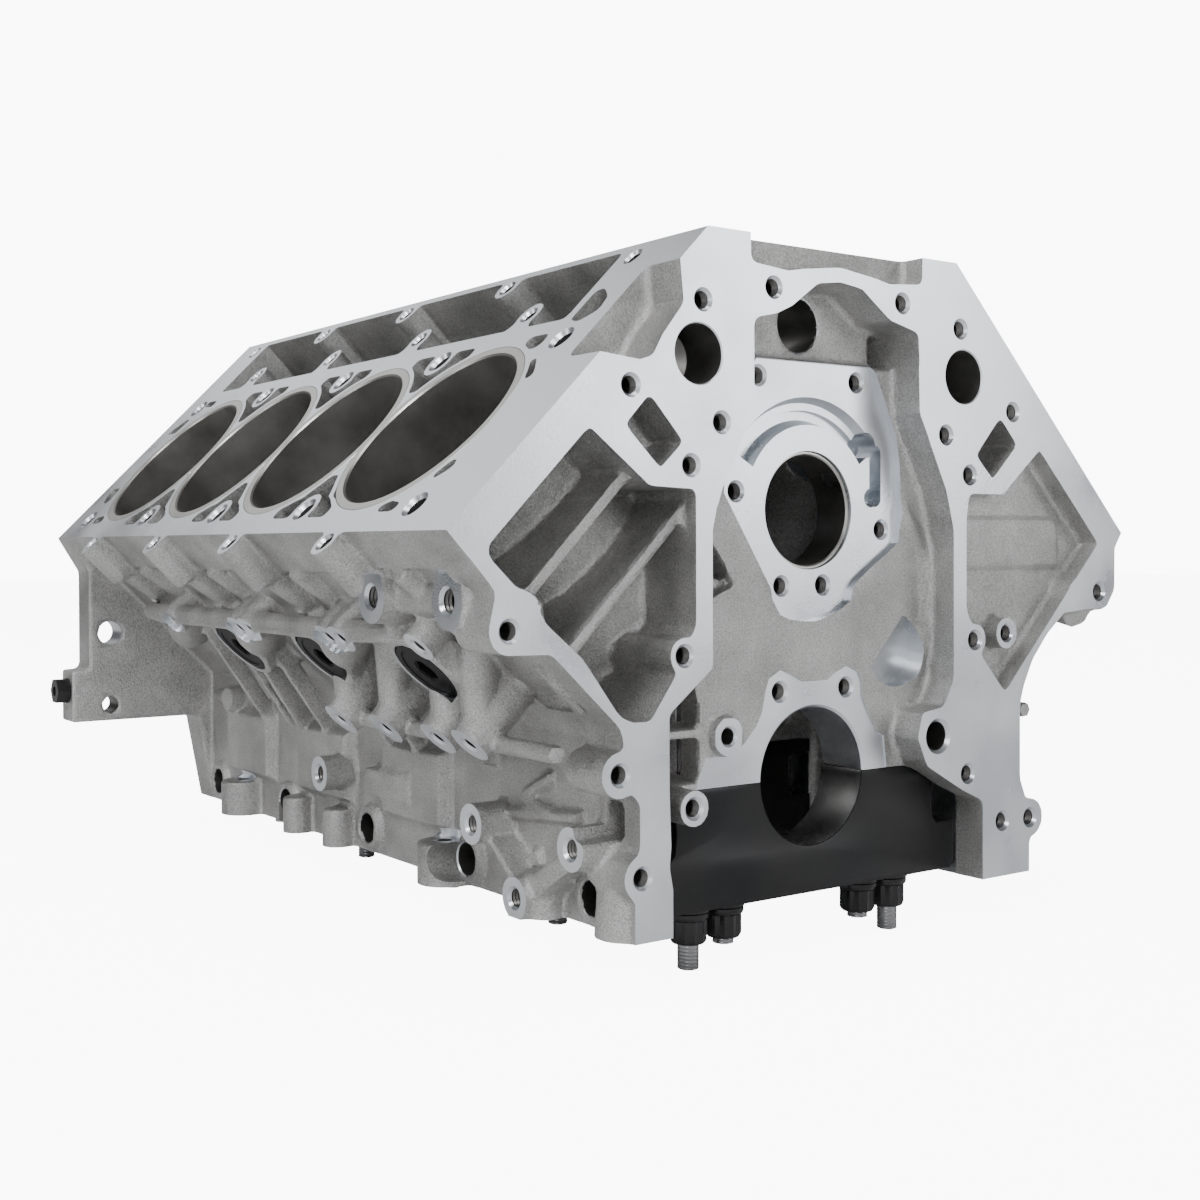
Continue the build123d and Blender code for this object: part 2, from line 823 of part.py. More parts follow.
# Drilled and threaded holes
with BuildPart() as drillings:
    for side in (LEFT, RIGHT):
        bores = bore_stations(side)
        head_bolts = head_bolt_stations(side)
        rows = [on_deck(side, way * head_bolt_offset, y) for y in head_bolts for way in (1, -1)]
        bars(deck_plane(side), rows, head_bolt_radius, -head_bolt_depth)
        extra_bolts = [on_deck(side, v, y) for y in bores for v in (-lower_bolt_offset, upper_bolt_offset)]
        extra_bolts += [on_deck(side, top_bolt_offset, y) for y in head_bolts]
        bars(deck_plane(side), extra_bolts, extra_bolt_radius, -extra_bolt_depth)
        bars(
            wall_plane(side, plug_face_offset), [on_wall(side, plug_height, y) for y in bores[:3]],
            plug_radius + liner_clearance, -plug_thickness,
        )
        bars(
            wall_plane(side, upper_mount_offset),
            [on_wall(side, upper_mount_height, bores[i] + past) for i, past in upper_mounts],
            mount_hole_radius, -mount_hole_depth,
        )
        bars(
            wall_plane(side, lower_mount_offset),
            [on_wall(side, lower_mount_height, bores[i] + past) for i, past in lower_mounts],
            mount_hole_radius, -mount_hole_depth,
        )
        bars(
            side_plane(side, bracket_boss_x),
            [on_side(side, y, bracket_boss_height) for y in (main_stations[0] - 2, bores[0])],
            bracket_hole_radius, -mount_hole_depth,
        )
        bars(
            side_plane(side, skirt_boss_x),
            [on_side(side, main_stations[i] + past, z) for i, past, z in skirt_bosses],
            mount_hole_radius, -mount_hole_depth,
        )
        bars(
            side_plane(side, skirt_boss_x),
            [on_side(side, y, cross_bolt_height) for y in main_stations],
            cross_bolt_radius, -(skirt_boss_x - cap_half_width),
        )
        bars(
            front_plane(rear_y), [(side * x, z) for x, z in bell_holes],
            bell_hole_radius, flange_thickness,
        )
        bars(
            front_plane(rear_y), [(side * bell_window[0], bell_window[1])],
            bell_window_radius, flange_thickness,
        )
        bars(
            front_plane(rear_y), [(side * bell_dowel[0], bell_dowel[1])],
            bell_dowel_radius + liner_clearance, bell_dowel_seat,
        )
        bars(
            front_plane(rear_y), [(side * x, z) for x, z in rear_bolts],
            rear_bolt_radius, rear_bolt_depth,
        )
        bars(
            front_plane(front_y), [(side * water_port_x, water_port_height)],
            water_port_radius, -water_port_depth,
        )
    bars(
        side_plane(RIGHT, flange_half_width),
        [on_side(RIGHT, rear_y - flange_thickness / 2, end_plug_height)],
        end_plug_radius + liner_clearance, -end_plug_seat,
    )
    bars(
        front_plane(rear_y), gallery_plug_places, gallery_plug_radius + liner_clearance,
        gallery_plug_length,
    )
    bars(
        Plane.XY,
        [(way * x, y) for y in main_stations for x in (outer_stud_x, inner_stud_x) for way in (1, -1)],
        stud_radius + stud_clearance, stud_depth,
    )
    bars(
        front_plane(front_y), right_front_bolts + left_front_bolts, front_bolt_radius,
        -front_bolt_depth,
    )
    bars(
        front_plane(front_y), cam_plate_bolts + main_face_bolts, front_bolt_radius,
        -(cam_plate_depth + front_bolt_depth),
    )
    bars(
        front_plane(front_y), [web_boss_centre], web_boss_hole_radius,
        -(front_recess_depth + web_boss_height),
    )
    bars(front_plane(front_y), [breather_centre], breather_radius, -valley_front_wall - 1)
    bars(front_plane(front_y), [oil_port_centre], oil_port_radius, -front_plate_depth)

with BuildPart() as block_casting:
    # Solid body between the end walls, then the front plates and the rear flange
    prism(block_outline, front_y + front_recess_depth, rear_y)
    for face_outline in (right_face, left_face):
        prism(face_outline, front_y, front_y + front_plate_depth)
    for side in (LEFT, RIGHT):
        flange = [
            (0, top_height - valley_rim_depth),
            bank_point(side, deck_height, -deck_edge_offset),
            (side * flange_step_half_width, flange_shoulder_height),
            (side * flange_step_half_width, flange_step_height),
            (side * flange_half_width, flange_step_height),
            (side * flange_half_width, flange_bottom),
            (side * (skirt_half_width + flange_foot_width), flange_bottom),
            (side * skirt_half_width, pan_rail_height),
            (0, pan_rail_height),
        ]
        prism(flange, rear_y - flange_thickness, rear_y)
    bars(front_plane(front_y), rail_bosses, front_boss_radius, -front_plate_depth)
    add([side_features[LEFT], side_features[RIGHT]])

    # Everything that is cored or cut away, then every drilled hole
    add(
        [front_hollows.part, middle_hollows.part, bank_hollows[LEFT], bank_hollows[RIGHT]],
        mode=Mode.SUBTRACT,
    )
    add(drillings.part, mode=Mode.SUBTRACT)


def write(piece, name):
    """Label a finished piece and write it to its own file."""
    piece.part.label = name
    export_step(piece.part, "parts/" + name + ".step")


write(block_casting, "block_casting")

# Cylinder liners, with flats where neighbours meet
for side, bank_name in ((RIGHT, "right"), (LEFT, "left")):
    bores = bore_stations(side)
    for number, y in enumerate(bores, 1):
        with BuildPart() as liner:
            bars(deck_plane(side), [on_deck(side, 0, y)], liner_radius, -liner_length)
            for way in (1, -1):
                if y + way * bore_pitch < bores[0] - 1 or y + way * bore_pitch > bores[-1] + 1:
                    continue
                with BuildSketch(deck_plane(side)):
                    with Locations(on_deck(side, 0, y + way * bore_pitch)):
                        Rectangle(2 * liner_radius, bore_pitch)
                extrude(amount=-liner_length, mode=Mode.SUBTRACT)
            bars(deck_plane(side), [on_deck(side, 0, y)], bore_radius, -liner_length, Mode.SUBTRACT)
        write(liner, f"{bank_name}_liner_{number}")

# Main caps
for number, station in enumerate(main_stations, 1):
    with BuildPart() as main_cap:
        with BuildSketch(front_plane(station - web_length / 2)):
            with Locations((0, -cap_height / 2)):
                Rectangle(2 * cap_half_width, cap_height)
            Circle(main_bore_radius, mode=Mode.SUBTRACT)
            for way in (1, -1):
                with Locations((way * cap_half_width, (cap_notch_top + cap_notch_bottom) / 2)):
                    SlotOverall(2 * cap_notch_depth, cap_notch_top - cap_notch_bottom, mode=Mode.SUBTRACT)
        extrude(amount=-web_length)
        lowest = main_cap.edges().filter_by(Axis.Y).group_by(Axis.Z)[0]
        chamfer(lowest, cap_edge_chamfer)
        bars(
            Plane.XY,
            [(way * x, station) for x in (outer_stud_x, inner_stud_x) for way in (1, -1)],
            stud_radius + stud_clearance, -cap_height, Mode.SUBTRACT,
        )
        for side in (LEFT, RIGHT):
            bars(
                side_plane(side, cap_half_width), [on_side(side, station, cross_bolt_height)],
                cross_bolt_thread_radius, -cross_bolt_thread_depth, Mode.SUBTRACT,
            )
    write(main_cap, f"main_cap_{number}")

# Studs, washers and nuts of the main caps
for name, stud_x, drop in (
    ("outer_main_studs", outer_stud_x, outer_stud_drop),
    ("inner_main_studs", inner_stud_x, inner_stud_drop),
):
    with BuildPart() as stud_set:
        places = [(way * stud_x, y) for y in main_stations for way in (1, -1)]
        bars(Plane.XY.offset(-drop), places, stud_radius, drop + stud_depth - stud_tip_gap)
    write(stud_set, name)

stud_places = [
    (way * x, y) for y in main_stations for x in (outer_stud_x, inner_stud_x) for way in (1, -1)
]
with BuildPart() as main_washers:
    with BuildSketch(Plane.XY.offset(-cap_height)):
        with Locations(*stud_places):
            Circle(washer_radius)
            Circle(stud_radius + stud_clearance, mode=Mode.SUBTRACT)
    extrude(amount=-washer_thickness)
write(main_washers, "main_washers")

with BuildPart() as main_nuts:
    with BuildSketch(Plane.XY.offset(-cap_height - washer_thickness)):
        with Locations(*stud_places):
            RegularPolygon(nut_radius, 12)
            Circle(stud_radius + stud_clearance, mode=Mode.SUBTRACT)
    extrude(amount=-nut_height)
write(main_nuts, "main_nuts")

# Cam bearings
for number, station in enumerate(main_stations, 1):
    with BuildPart() as cam_bearing:
        with BuildSketch(front_plane(station - cam_bearing_length / 2)):
            with Locations((0, cam_height)):
                Circle(cam_housing_radius - liner_clearance)
                Circle(cam_bearing_radius, mode=Mode.SUBTRACT)
        extrude(amount=-cam_bearing_length)
    write(cam_bearing, f"cam_bearing_{number}")

# Core plugs with a hexagon socket
for side, bank_name in ((RIGHT, "right"), (LEFT, "left")):
    for number, y in enumerate(bore_stations(side)[:3], 1):
        place = on_wall(side, plug_height, y)
        with BuildPart() as core_plug:
            bars(wall_plane(side, plug_face_offset), [place], plug_radius, -plug_thickness)
            with BuildSketch(wall_plane(side, plug_face_offset)):
                with Locations(place):
                    RegularPolygon(plug_socket_width / 2, 6, major_radius=False)
            extrude(amount=-plug_socket_depth, mode=Mode.SUBTRACT)
        write(core_plug, f"{bank_name}_core_plug_{number}")

# Bell housing dowels, the plug in the end of the flange and the oil gallery plugs
with BuildPart() as bell_housing_dowels:
    bars(
        front_plane(rear_y - bell_dowel_seat),
        [(side * bell_dowel[0], bell_dowel[1]) for side in (LEFT, RIGHT)],
        bell_dowel_radius, -bell_dowel_length,
    )
write(bell_housing_dowels, "bell_housing_dowels")

with BuildPart() as flange_end_plug:
    place = on_side(RIGHT, rear_y - flange_thickness / 2, end_plug_height)
    bars(side_plane(RIGHT, flange_half_width), [place], end_plug_radius, -end_plug_seat)
    with BuildSketch(side_plane(RIGHT, flange_half_width)):
        with Locations(place):
            RegularPolygon(end_plug_hex_radius, 6)
    extrude(amount=end_plug_hex_length)
write(flange_end_plug, "flange_end_plug")

with BuildPart() as gallery_plugs:
    bars(front_plane(rear_y), gallery_plug_places, gallery_plug_radius, gallery_plug_length)
write(gallery_plugs, "gallery_plugs")
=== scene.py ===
"""A bare V8 cylinder block in aluminium, with its liners, main caps, studs, cam bearings and plugs."""
import math

import bmesh
import bpy
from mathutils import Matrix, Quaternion, Vector


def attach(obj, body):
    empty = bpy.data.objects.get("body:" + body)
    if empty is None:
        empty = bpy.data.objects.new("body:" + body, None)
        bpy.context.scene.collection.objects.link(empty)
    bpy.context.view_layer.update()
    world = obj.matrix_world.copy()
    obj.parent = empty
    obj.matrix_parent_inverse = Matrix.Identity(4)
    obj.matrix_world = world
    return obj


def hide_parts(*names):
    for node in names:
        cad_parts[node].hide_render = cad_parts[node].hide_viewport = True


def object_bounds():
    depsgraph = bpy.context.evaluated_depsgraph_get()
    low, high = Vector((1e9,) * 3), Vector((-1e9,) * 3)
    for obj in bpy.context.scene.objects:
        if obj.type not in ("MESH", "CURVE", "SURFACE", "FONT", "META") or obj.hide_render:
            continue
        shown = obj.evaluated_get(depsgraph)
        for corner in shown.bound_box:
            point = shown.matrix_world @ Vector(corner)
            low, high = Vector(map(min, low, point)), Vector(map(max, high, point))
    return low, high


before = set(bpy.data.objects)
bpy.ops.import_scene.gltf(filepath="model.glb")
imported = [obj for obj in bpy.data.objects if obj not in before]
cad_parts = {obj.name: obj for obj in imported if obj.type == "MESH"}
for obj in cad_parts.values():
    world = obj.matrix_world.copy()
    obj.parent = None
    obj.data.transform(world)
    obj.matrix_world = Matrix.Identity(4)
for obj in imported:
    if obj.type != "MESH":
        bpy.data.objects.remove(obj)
cad_box = [list(corner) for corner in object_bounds()]

# Camera: low beside the front corner of the block, at the photograph's viewing angle, so that the
# near deck, the near side and the machined front face all show.
def put_in_scene(name, data):
    """Object that holds some data, linked into the scene."""
    item = bpy.data.objects.new(name, data)
    bpy.context.scene.collection.objects.link(item)
    return item


view_turn = math.radians(34.802)
view_dip = math.radians(-0.666)
view_roll = math.radians(0.173)
view_ahead = Vector((
    math.sin(view_turn) * math.cos(view_dip),
    math.cos(view_turn) * math.cos(view_dip),
    math.sin(view_dip),
))
camera_data = bpy.data.cameras.new("camera")
camera_data.lens = 46.283
camera_data.sensor_width = 36.0
camera_data.shift_x = 0.0354
camera_data.shift_y = -0.0301
camera = put_in_scene("camera", camera_data)
camera.location = (-0.55115, -0.80559, 0.11695)
camera.rotation_mode = "QUATERNION"
camera.rotation_quaternion = Quaternion(view_ahead, view_roll) @ view_ahead.to_track_quat("-Z", "Y")
bpy.context.scene.camera = camera

# Floor and light: a pale seamless floor under a white studio, lit by broad soft boxes that the
# machined faces mirror. The floor lies under the tips of the studs, which the block stands on.
floor_mesh = bpy.data.meshes.new("studio_floor")
floor_height = cad_box[0][2]
floor_mesh.from_pydata(
    [(x, y, floor_height) for x, y in ((-9, -9), (9, -9), (9, 9), (-9, 9))], [], [(0, 1, 2, 3)]
)
floor = put_in_scene("studio_floor", floor_mesh)
floor_material = bpy.data.materials.new("pale_floor")
floor_material.use_nodes = True
floor_tree = floor_material.node_tree
floor_shader = floor_tree.nodes["Principled BSDF"]
floor_shader.inputs["Base Color"].default_value = (0.9, 0.9, 0.9, 1)
floor_shader.inputs["Roughness"].default_value = 0.9
floor_shader.inputs["Emission Color"].default_value = (1, 1, 1, 1)
floor_ray = floor_tree.nodes.new("ShaderNodeLightPath")
floor_lift = floor_tree.nodes.new("ShaderNodeMath")
floor_lift.operation = "MULTIPLY"
floor_lift.inputs[1].default_value = 9.0
floor_tree.links.new(floor_ray.outputs["Is Camera Ray"], floor_lift.inputs[0])
floor_tree.links.new(floor_lift.outputs["Value"], floor_shader.inputs["Emission Strength"])
floor_mesh.materials.append(floor_material)

studio = bpy.data.worlds.new("studio")
bpy.context.scene.world = studio
studio.use_nodes = True
studio_tree = studio.node_tree
studio_light = studio_tree.nodes["Background"]
studio_light.inputs["Color"].default_value = (1.0, 1.0, 1.0, 1)
studio_ray = studio_tree.nodes.new("ShaderNodeLightPath")
studio_lift = studio_tree.nodes.new("ShaderNodeMapRange")
studio_lift.inputs["To Min"].default_value = 0.16
studio_lift.inputs["To Max"].default_value = 10.0
studio_tree.links.new(studio_ray.outputs["Is Camera Ray"], studio_lift.inputs["Value"])
studio_tree.links.new(studio_lift.outputs["Result"], studio_light.inputs["Strength"])


def soft_light(name, place, size, power):
    """A square soft box hung at a place and turned to the block."""
    lamp = bpy.data.lights.new(name, "AREA")
    lamp.size = size
    lamp.energy = power
    lamp_object = put_in_scene(name, lamp)
    lamp_object.location = place
    aim = Vector((0, 0, 0.1)) - Vector(place)
    lamp_object.rotation_euler = aim.to_track_quat("-Z", "Y").to_euler()


soft_light("front_box", (1.4, -1.9, 0.6), 1.0, 14)
soft_light("fill_box", (-0.8, -2.2, 0.9), 0.7, 17)
soft_light("deck_box", (-0.3, 2.3, 1.9), 1.6, 11)
soft_light("side_box", (-2.4, 0.9, 0.9), 0.6, 8)
soft_light("bore_box", (-1.9, -0.7, 1.7), 0.8, 28)
soft_light("low_box", (-1.7, -1.6, 0.35), 0.6, 4)
soft_light("top_box", (-0.4, -0.6, 2.4), 1.0, 16)

# Block casting. One sand cast aluminium piece: cast skin with rounded corners everywhere except
# where the cutter has been, on the decks, front face, rear face, pan rails, boss faces and bores.
# The cast body carries a little stock on those faces, and the machining is then cut out of it.
MM = 0.001
SLANT = math.sqrt(0.5)
LEFT = 1
RIGHT = -1
front = -258.39
rear = 263.61
bore_pitch = 111.76
bank_stagger = 24.13
deck_height = 247.65
cam_height = 134.67
pan_rail = -62.5
top_height = 265.0
main_stations = [(i - 2) * bore_pitch for i in range(5)]
machining_stock = 3.6
head_bolt_offset = 55.88
stud_rows = (69.5, 47.0)
stud_hole = 5.6
main_bore = 35.1
cross_bolt_seat = 128.4
cross_bolt_height = -48
upper_mount_face = 88.0
upper_mount_height = 187
lower_mount_face = 105.0
lower_mount_height = 138
bracket_face = 207.0
skirt_boss_face = 145.0
thread_reach = 7.5


def bore_stations(side):
    """Cylinder centres along the block on one bank."""
    return [(i - 1.5) * bore_pitch - side * bank_stagger / 2 for i in range(4)]


def head_bolt_stations(side):
    """Rows of head bolts along the block, half a pitch each side of every bore."""
    first = bore_stations(side)[0] - bore_pitch / 2
    return [first + i * bore_pitch for i in range(5)]


def bank(side, height, across, y):
    """Point of a bank from its height along the bores, its place up the deck and its station."""
    return Vector((side * SLANT * (height - across), y, SLANT * (height + across)))


def bank_ways(side):
    """Way out of a deck, and way out of the bank wall below it."""
    return Vector((side * SLANT, 0, SLANT)), Vector((side * SLANT, 0, -SLANT))


def turned_rows(start, way, rings, sides):
    """Corners turned about a line, from rows of distance along it and radius, or radius by angle."""
    start = Vector(start)
    turn = Vector(way).to_track_quat("Z", "Y")
    corners = []
    for along, radius in rings:
        for i in range(sides):
            angle = 2 * math.pi * i / sides
            reach = radius(angle) if callable(radius) else radius
            corners.append(start + turn @ Vector((reach * math.cos(angle), reach * math.sin(angle), along)))
    return corners


def faces_between(low, high, sides):
    """Faces that join two rows of corners."""
    return [(low + i, low + (i + 1) % sides, high + (i + 1) % sides, high + i) for i in range(sides)]


def turned(start, way, rings, sides=24):
    """Closed solid turned about a line, from rows of distance along it and radius."""
    last = sides * (len(rings) - 1)
    faces = []
    for low in range(0, last, sides):
        faces += faces_between(low, low + sides, sides)
    faces.append(tuple(reversed(range(sides))))
    faces.append(tuple(range(last, last + sides)))
    return turned_rows(start, way, rings, sides), faces


def rod(start, end, radius, end_radius=None, sides=24):
    """Round or tapered bar between two points."""
    way = Vector(end) - Vector(start)
    far_radius = radius if end_radius is None else end_radius
    return turned(start, way, [(0, radius), (way.length, far_radius)], sides)


def bank_rod(side, start, end, radius, end_radius=None, sides=24):
    """Bar between two points of a bank, each given by height, place up the deck and station."""
    return rod(bank(side, *start), bank(side, *end), radius, end_radius, sides)


def drill(start, way, radius, depth, chamfer=1.2, thread=0.0, sides=24, mouth=5.0):
    """Drilled hole as a solid: open mouth, chamfer, threaded or plain wall and coned end."""
    rings = [(-mouth, radius + chamfer), (0.0, radius + chamfer), (chamfer, radius)]
    along = chamfer + 0.4
    while thread and along < min(depth - 2, thread_reach):
        rings += [(along, radius), (along + thread * 0.5, radius + 0.42 * thread)]
        along += thread
    rings += [(depth, radius), (depth + 0.5 * radius, 0.3)]
    corners, faces = turned(start, way, rings, sides)
    # The mouth and chamfer take finish 1, machined. The wall, thread and coned end take finish 2, the drilled
    # finish with painted shade.
    return corners, faces, [1 if k < 2 * sides or k == len(faces) - 2 else 2 for k in range(len(faces))]


def block_of(outline, travel):
    """Straight sided solid from a closed row of points and the way it is carried."""
    outline = [Vector(p) for p in outline]
    travel = Vector(travel)
    normal = sum((a.cross(b) for a, b in zip(outline, outline[1:] + outline[:1])), Vector())
    if normal.dot(travel) > 0:
        outline.reverse()
    count = len(outline)
    corners = outline + [p + travel for p in outline]
    faces = [tuple(range(count)), tuple(reversed(range(count, 2 * count)))]
    faces += [((i + 1) % count, i, count + i, count + (i + 1) % count) for i in range(count)]
    return corners, faces


def across_block(outline, depth_from, depth_to):
    """Solid from a front view outline in X and Z, between two depths behind the front face."""
    return block_of([(x, front + depth_from, z) for x, z in outline], (0, depth_to - depth_from, 0))


def box_of(x_low, x_high, y_low, y_high, z_low, z_high):
    """Rectangular solid between stated planes."""
    return block_of(
        [(x_low, y_low, z_low), (x_high, y_low, z_low), (x_high, y_low, z_high), (x_low, y_low, z_high)],
        (0, y_high - y_low, 0),
    )


def add_solids(shape, solids, finish=0):
    """Add closed solids in millimetres to a mesh in metres."""
    for corners, faces, *finishes in solids:
        points = [shape.verts.new(Vector(p) * MM) for p in corners]
        for k, face in enumerate(faces):
            shape.faces.new([points[i] for i in face]).material_index = finishes[0][k] if finishes else finish


def mesh_of(name, solids, finish=0, materials=()):
    """Object holding closed solids, all in one finish."""
    shape = bmesh.new()
    add_solids(shape, solids, finish)
    bmesh.ops.recalc_face_normals(shape, faces=shape.faces)
    mesh = bpy.data.meshes.new(name)
    shape.to_mesh(mesh)
    shape.free()
    for material in materials:
        mesh.materials.append(material)
    return put_in_scene(name, mesh)


def settle(piece):
    """Make the result of a piece's modifiers its own mesh."""
    graph = bpy.context.evaluated_depsgraph_get()
    mesh = bpy.data.meshes.new_from_object(piece.evaluated_get(graph))
    piece.modifiers.clear()
    old = piece.data
    piece.data = mesh
    bpy.data.meshes.remove(old)


def keep_main_body(piece):
    """Remove loose slivers and closed bubbles, so that one closed skin is left."""
    shape = bmesh.new()
    shape.from_mesh(piece.data)
    left = set(shape.verts)
    bodies = []
    while left:
        found = {left.pop()}
        edge = list(found)
        while edge:
            near = [other.other_vert(corner) for corner in edge for other in corner.link_edges]
            edge = [corner for corner in set(near) if corner in left]
            left.difference_update(edge)
            found.update(edge)
        bodies.append(found)
    bodies.sort(key=len)
    bmesh.ops.delete(shape, geom=[corner for found in bodies[:-1] for corner in found], context="VERTS")
    shape.to_mesh(piece.data)
    shape.free()


def machine(piece, cuts):
    """Cut closed solids out of a piece, in rounds whose solids stand apart."""
    rounds = []
    for cut in cuts:
        low = [min(p[k] for p in cut[0]) for k in range(3)]
        high = [max(p[k] for p in cut[0]) for k in range(3)]
        for group in rounds:
            if all(any(high[k] < near[k] or low[k] > far[k] for k in range(3)) for near, far, _ in group):
                group.append((low, high, cut))
                break
        else:
            rounds.append([(low, high, cut)])
    for group in rounds:
        cutter = mesh_of("cutter", [cut for _, _, cut in group], 1, piece.data.materials)
        step = piece.modifiers.new("cut", "BOOLEAN")
        step.operation = "DIFFERENCE"
        step.solver = "MANIFOLD"
        step.object = cutter
        settle(piece)
        mesh = cutter.data
        bpy.data.objects.remove(cutter)
        bpy.data.meshes.remove(mesh)


def add_node(tree, kind, **values):
    """Add a node beside the last one, with some of its properties and unlinked inputs set."""
    made = tree.nodes.new(kind)
    made.location.x = 200 * len(tree.nodes)
    for key, value in values.items():
        label = key.replace("_", " ")
        if label in made.inputs:
            made.inputs[label].default_value = value
        else:
            setattr(made, key, value)
    return made


def link(tree, *joints):
    """Link nodes of a tree, by rows of source, its output, target and its input."""
    for source, output, target, entry in joints:
        tree.links.new(source.outputs[output], target.inputs[entry])


def new_group(name, inputs, outputs):
    """Empty shader node group with number inputs and named outputs."""
    tree = bpy.data.node_groups.new(name, "ShaderNodeTree")
    for label, value in inputs:
        tree.interface.new_socket(label, in_out="INPUT", socket_type="NodeSocketFloat").default_value = value
    for label in outputs:
        tree.interface.new_socket(label, in_out="OUTPUT", socket_type="NodeSocketFloat")
    return tree, add_node(tree, "NodeGroupInput"), add_node(tree, "NodeGroupOutput")


# Sand grain: the fine pitted skin that a sand mould leaves, with slow unevenness under it
sand_grain, grain_in, grain_out = new_group(
    "sand grain", [("Grain Per Metre", 900.0), ("Unevenness", 0.35)], ["Height", "Speckle", "Blotch"]
)
grain_place = add_node(sand_grain, "ShaderNodeTexCoord")
grain_fine = add_node(sand_grain, "ShaderNodeTexNoise", Detail=4.0, Roughness=0.65)
grain_slow = add_node(sand_grain, "ShaderNodeTexNoise", Scale=170.0, Detail=3.0)
grain_blotch = add_node(sand_grain, "ShaderNodeTexNoise", Scale=26.0, Detail=5.0, Roughness=0.6)
grain_mix = add_node(sand_grain, "ShaderNodeMix")
for texture in (grain_fine, grain_slow, grain_blotch):
    link(sand_grain, (grain_place, "Object", texture, "Vector"))
link(
    sand_grain, (grain_in, "Grain Per Metre", grain_fine, "Scale"),
    (grain_in, "Unevenness", grain_mix, "Factor"), (grain_fine, "Fac", grain_mix, "A"),
    (grain_slow, "Fac", grain_mix, "B"), (grain_mix, "Result", grain_out, "Height"),
    (grain_fine, "Fac", grain_out, "Speckle"), (grain_blotch, "Fac", grain_out, "Blotch"),
)

# Tool marks: fine scratches left by a cutter in two slanting directions, with slow cloudiness
tool_marks, marks_in, marks_out = new_group(
    "tool marks", [("Lines Per Metre", 1500.0), ("Stretch", 0.03)], ["Height", "Cloud"]
)
marks_place = add_node(tool_marks, "ShaderNodeTexCoord")
marks_squeeze = add_node(tool_marks, "ShaderNodeCombineXYZ", X=1.0, Z=1.0)
marks_sum = add_node(tool_marks, "ShaderNodeMath", operation="MULTIPLY_ADD")
marks_sum.inputs[1].default_value = 0.5
marks_cloud = add_node(tool_marks, "ShaderNodeTexNoise", Scale=18.0, Detail=4.0)
link(tool_marks, (marks_in, "Stretch", marks_squeeze, "Y"))
marks_lines = []
for turn in ((20, 38, 12), (-31, 24, 57)):
    marks_turn = add_node(tool_marks, "ShaderNodeMapping")
    marks_turn.inputs["Rotation"].default_value = [math.radians(angle) for angle in turn]
    marks_scaled = add_node(tool_marks, "ShaderNodeVectorMath", operation="MULTIPLY")
    marks_fine = add_node(tool_marks, "ShaderNodeTexNoise", Detail=2.0)
    link(
        tool_marks, (marks_place, "Object", marks_turn, "Vector"),
        (marks_turn, "Vector", marks_scaled, 0), (marks_squeeze, "Vector", marks_scaled, 1),
        (marks_scaled, "Vector", marks_fine, "Vector"),
        (marks_in, "Lines Per Metre", marks_fine, "Scale"),
    )
    marks_lines.append(marks_fine)
link(
    tool_marks, (marks_lines[0], "Fac", marks_sum, 0), (marks_lines[1], "Fac", marks_sum, 2),
    (marks_place, "Object", marks_cloud, "Vector"), (marks_sum, "Value", marks_out, "Height"),
    (marks_cloud, "Fac", marks_out, "Cloud"),
)
COLOUR_A, COLOUR_B, COLOUR_RESULT = 6, 7, 2  # sockets of a Mix node that mixes colours


def finish_of(name, group, values, tones, tone_by, roughness, metallic, bump, fleck_by=None, fleck=(1, 1)):
    """Metal finish: two tones mixed by an output of a group, flecks over them, roughness and a bump."""
    material = bpy.data.materials.new(name)
    material.use_nodes = True
    tree = material.node_tree
    shader = tree.nodes["Principled BSDF"]
    shader.inputs["Metallic"].default_value = metallic
    pattern = add_node(tree, "ShaderNodeGroup", node_tree=group)
    for key, value in values.items():
        pattern.inputs[key].default_value = value
    spread = add_node(tree, "ShaderNodeMapRange", From_Min=0.32, From_Max=0.68)
    tone = add_node(tree, "ShaderNodeMix", data_type="RGBA")
    tone.inputs[COLOUR_A].default_value = (*tones[0], 1)
    tone.inputs[COLOUR_B].default_value = (*tones[1], 1)
    low, high = roughness
    rough = add_node(tree, "ShaderNodeMapRange", From_Min=0.3, From_Max=0.7, To_Min=low, To_Max=high)
    relief = add_node(tree, "ShaderNodeBump", Strength=bump[1], Distance=bump[0] * MM)
    link(
        tree, (pattern, tone_by, spread, "Value"), (spread, "Result", tone, 0),
        (pattern, tone_by, rough, "Value"), (rough, "Result", shader, "Roughness"),
        (pattern, "Height", relief, "Height"), (relief, "Normal", shader, "Normal"),
    )
    if fleck_by is None:
        link(tree, (tone, COLOUR_RESULT, shader, "Base Color"))
        return material
    low, high = fleck
    darken = add_node(tree, "ShaderNodeMapRange", From_Min=0.3, From_Max=0.62, To_Min=low, To_Max=high)
    flecked = add_node(tree, "ShaderNodeVectorMath", operation="SCALE")
    link(
        tree, (pattern, fleck_by, darken, "Value"), (tone, COLOUR_RESULT, flecked, 0),
        (darken, "Result", flecked, "Scale"), (flecked, "Vector", shader, "Base Color"),
    )
    return material


def tooled(name, lines, stretch, dark, light, roughness, metallic, bump):
    """Metal finish with the marks of a cutter or a grinding wheel."""
    marks = {"Lines Per Metre": lines, "Stretch": stretch}
    return finish_of(name, tool_marks, marks, (dark, light), "Cloud", roughness, metallic, bump)


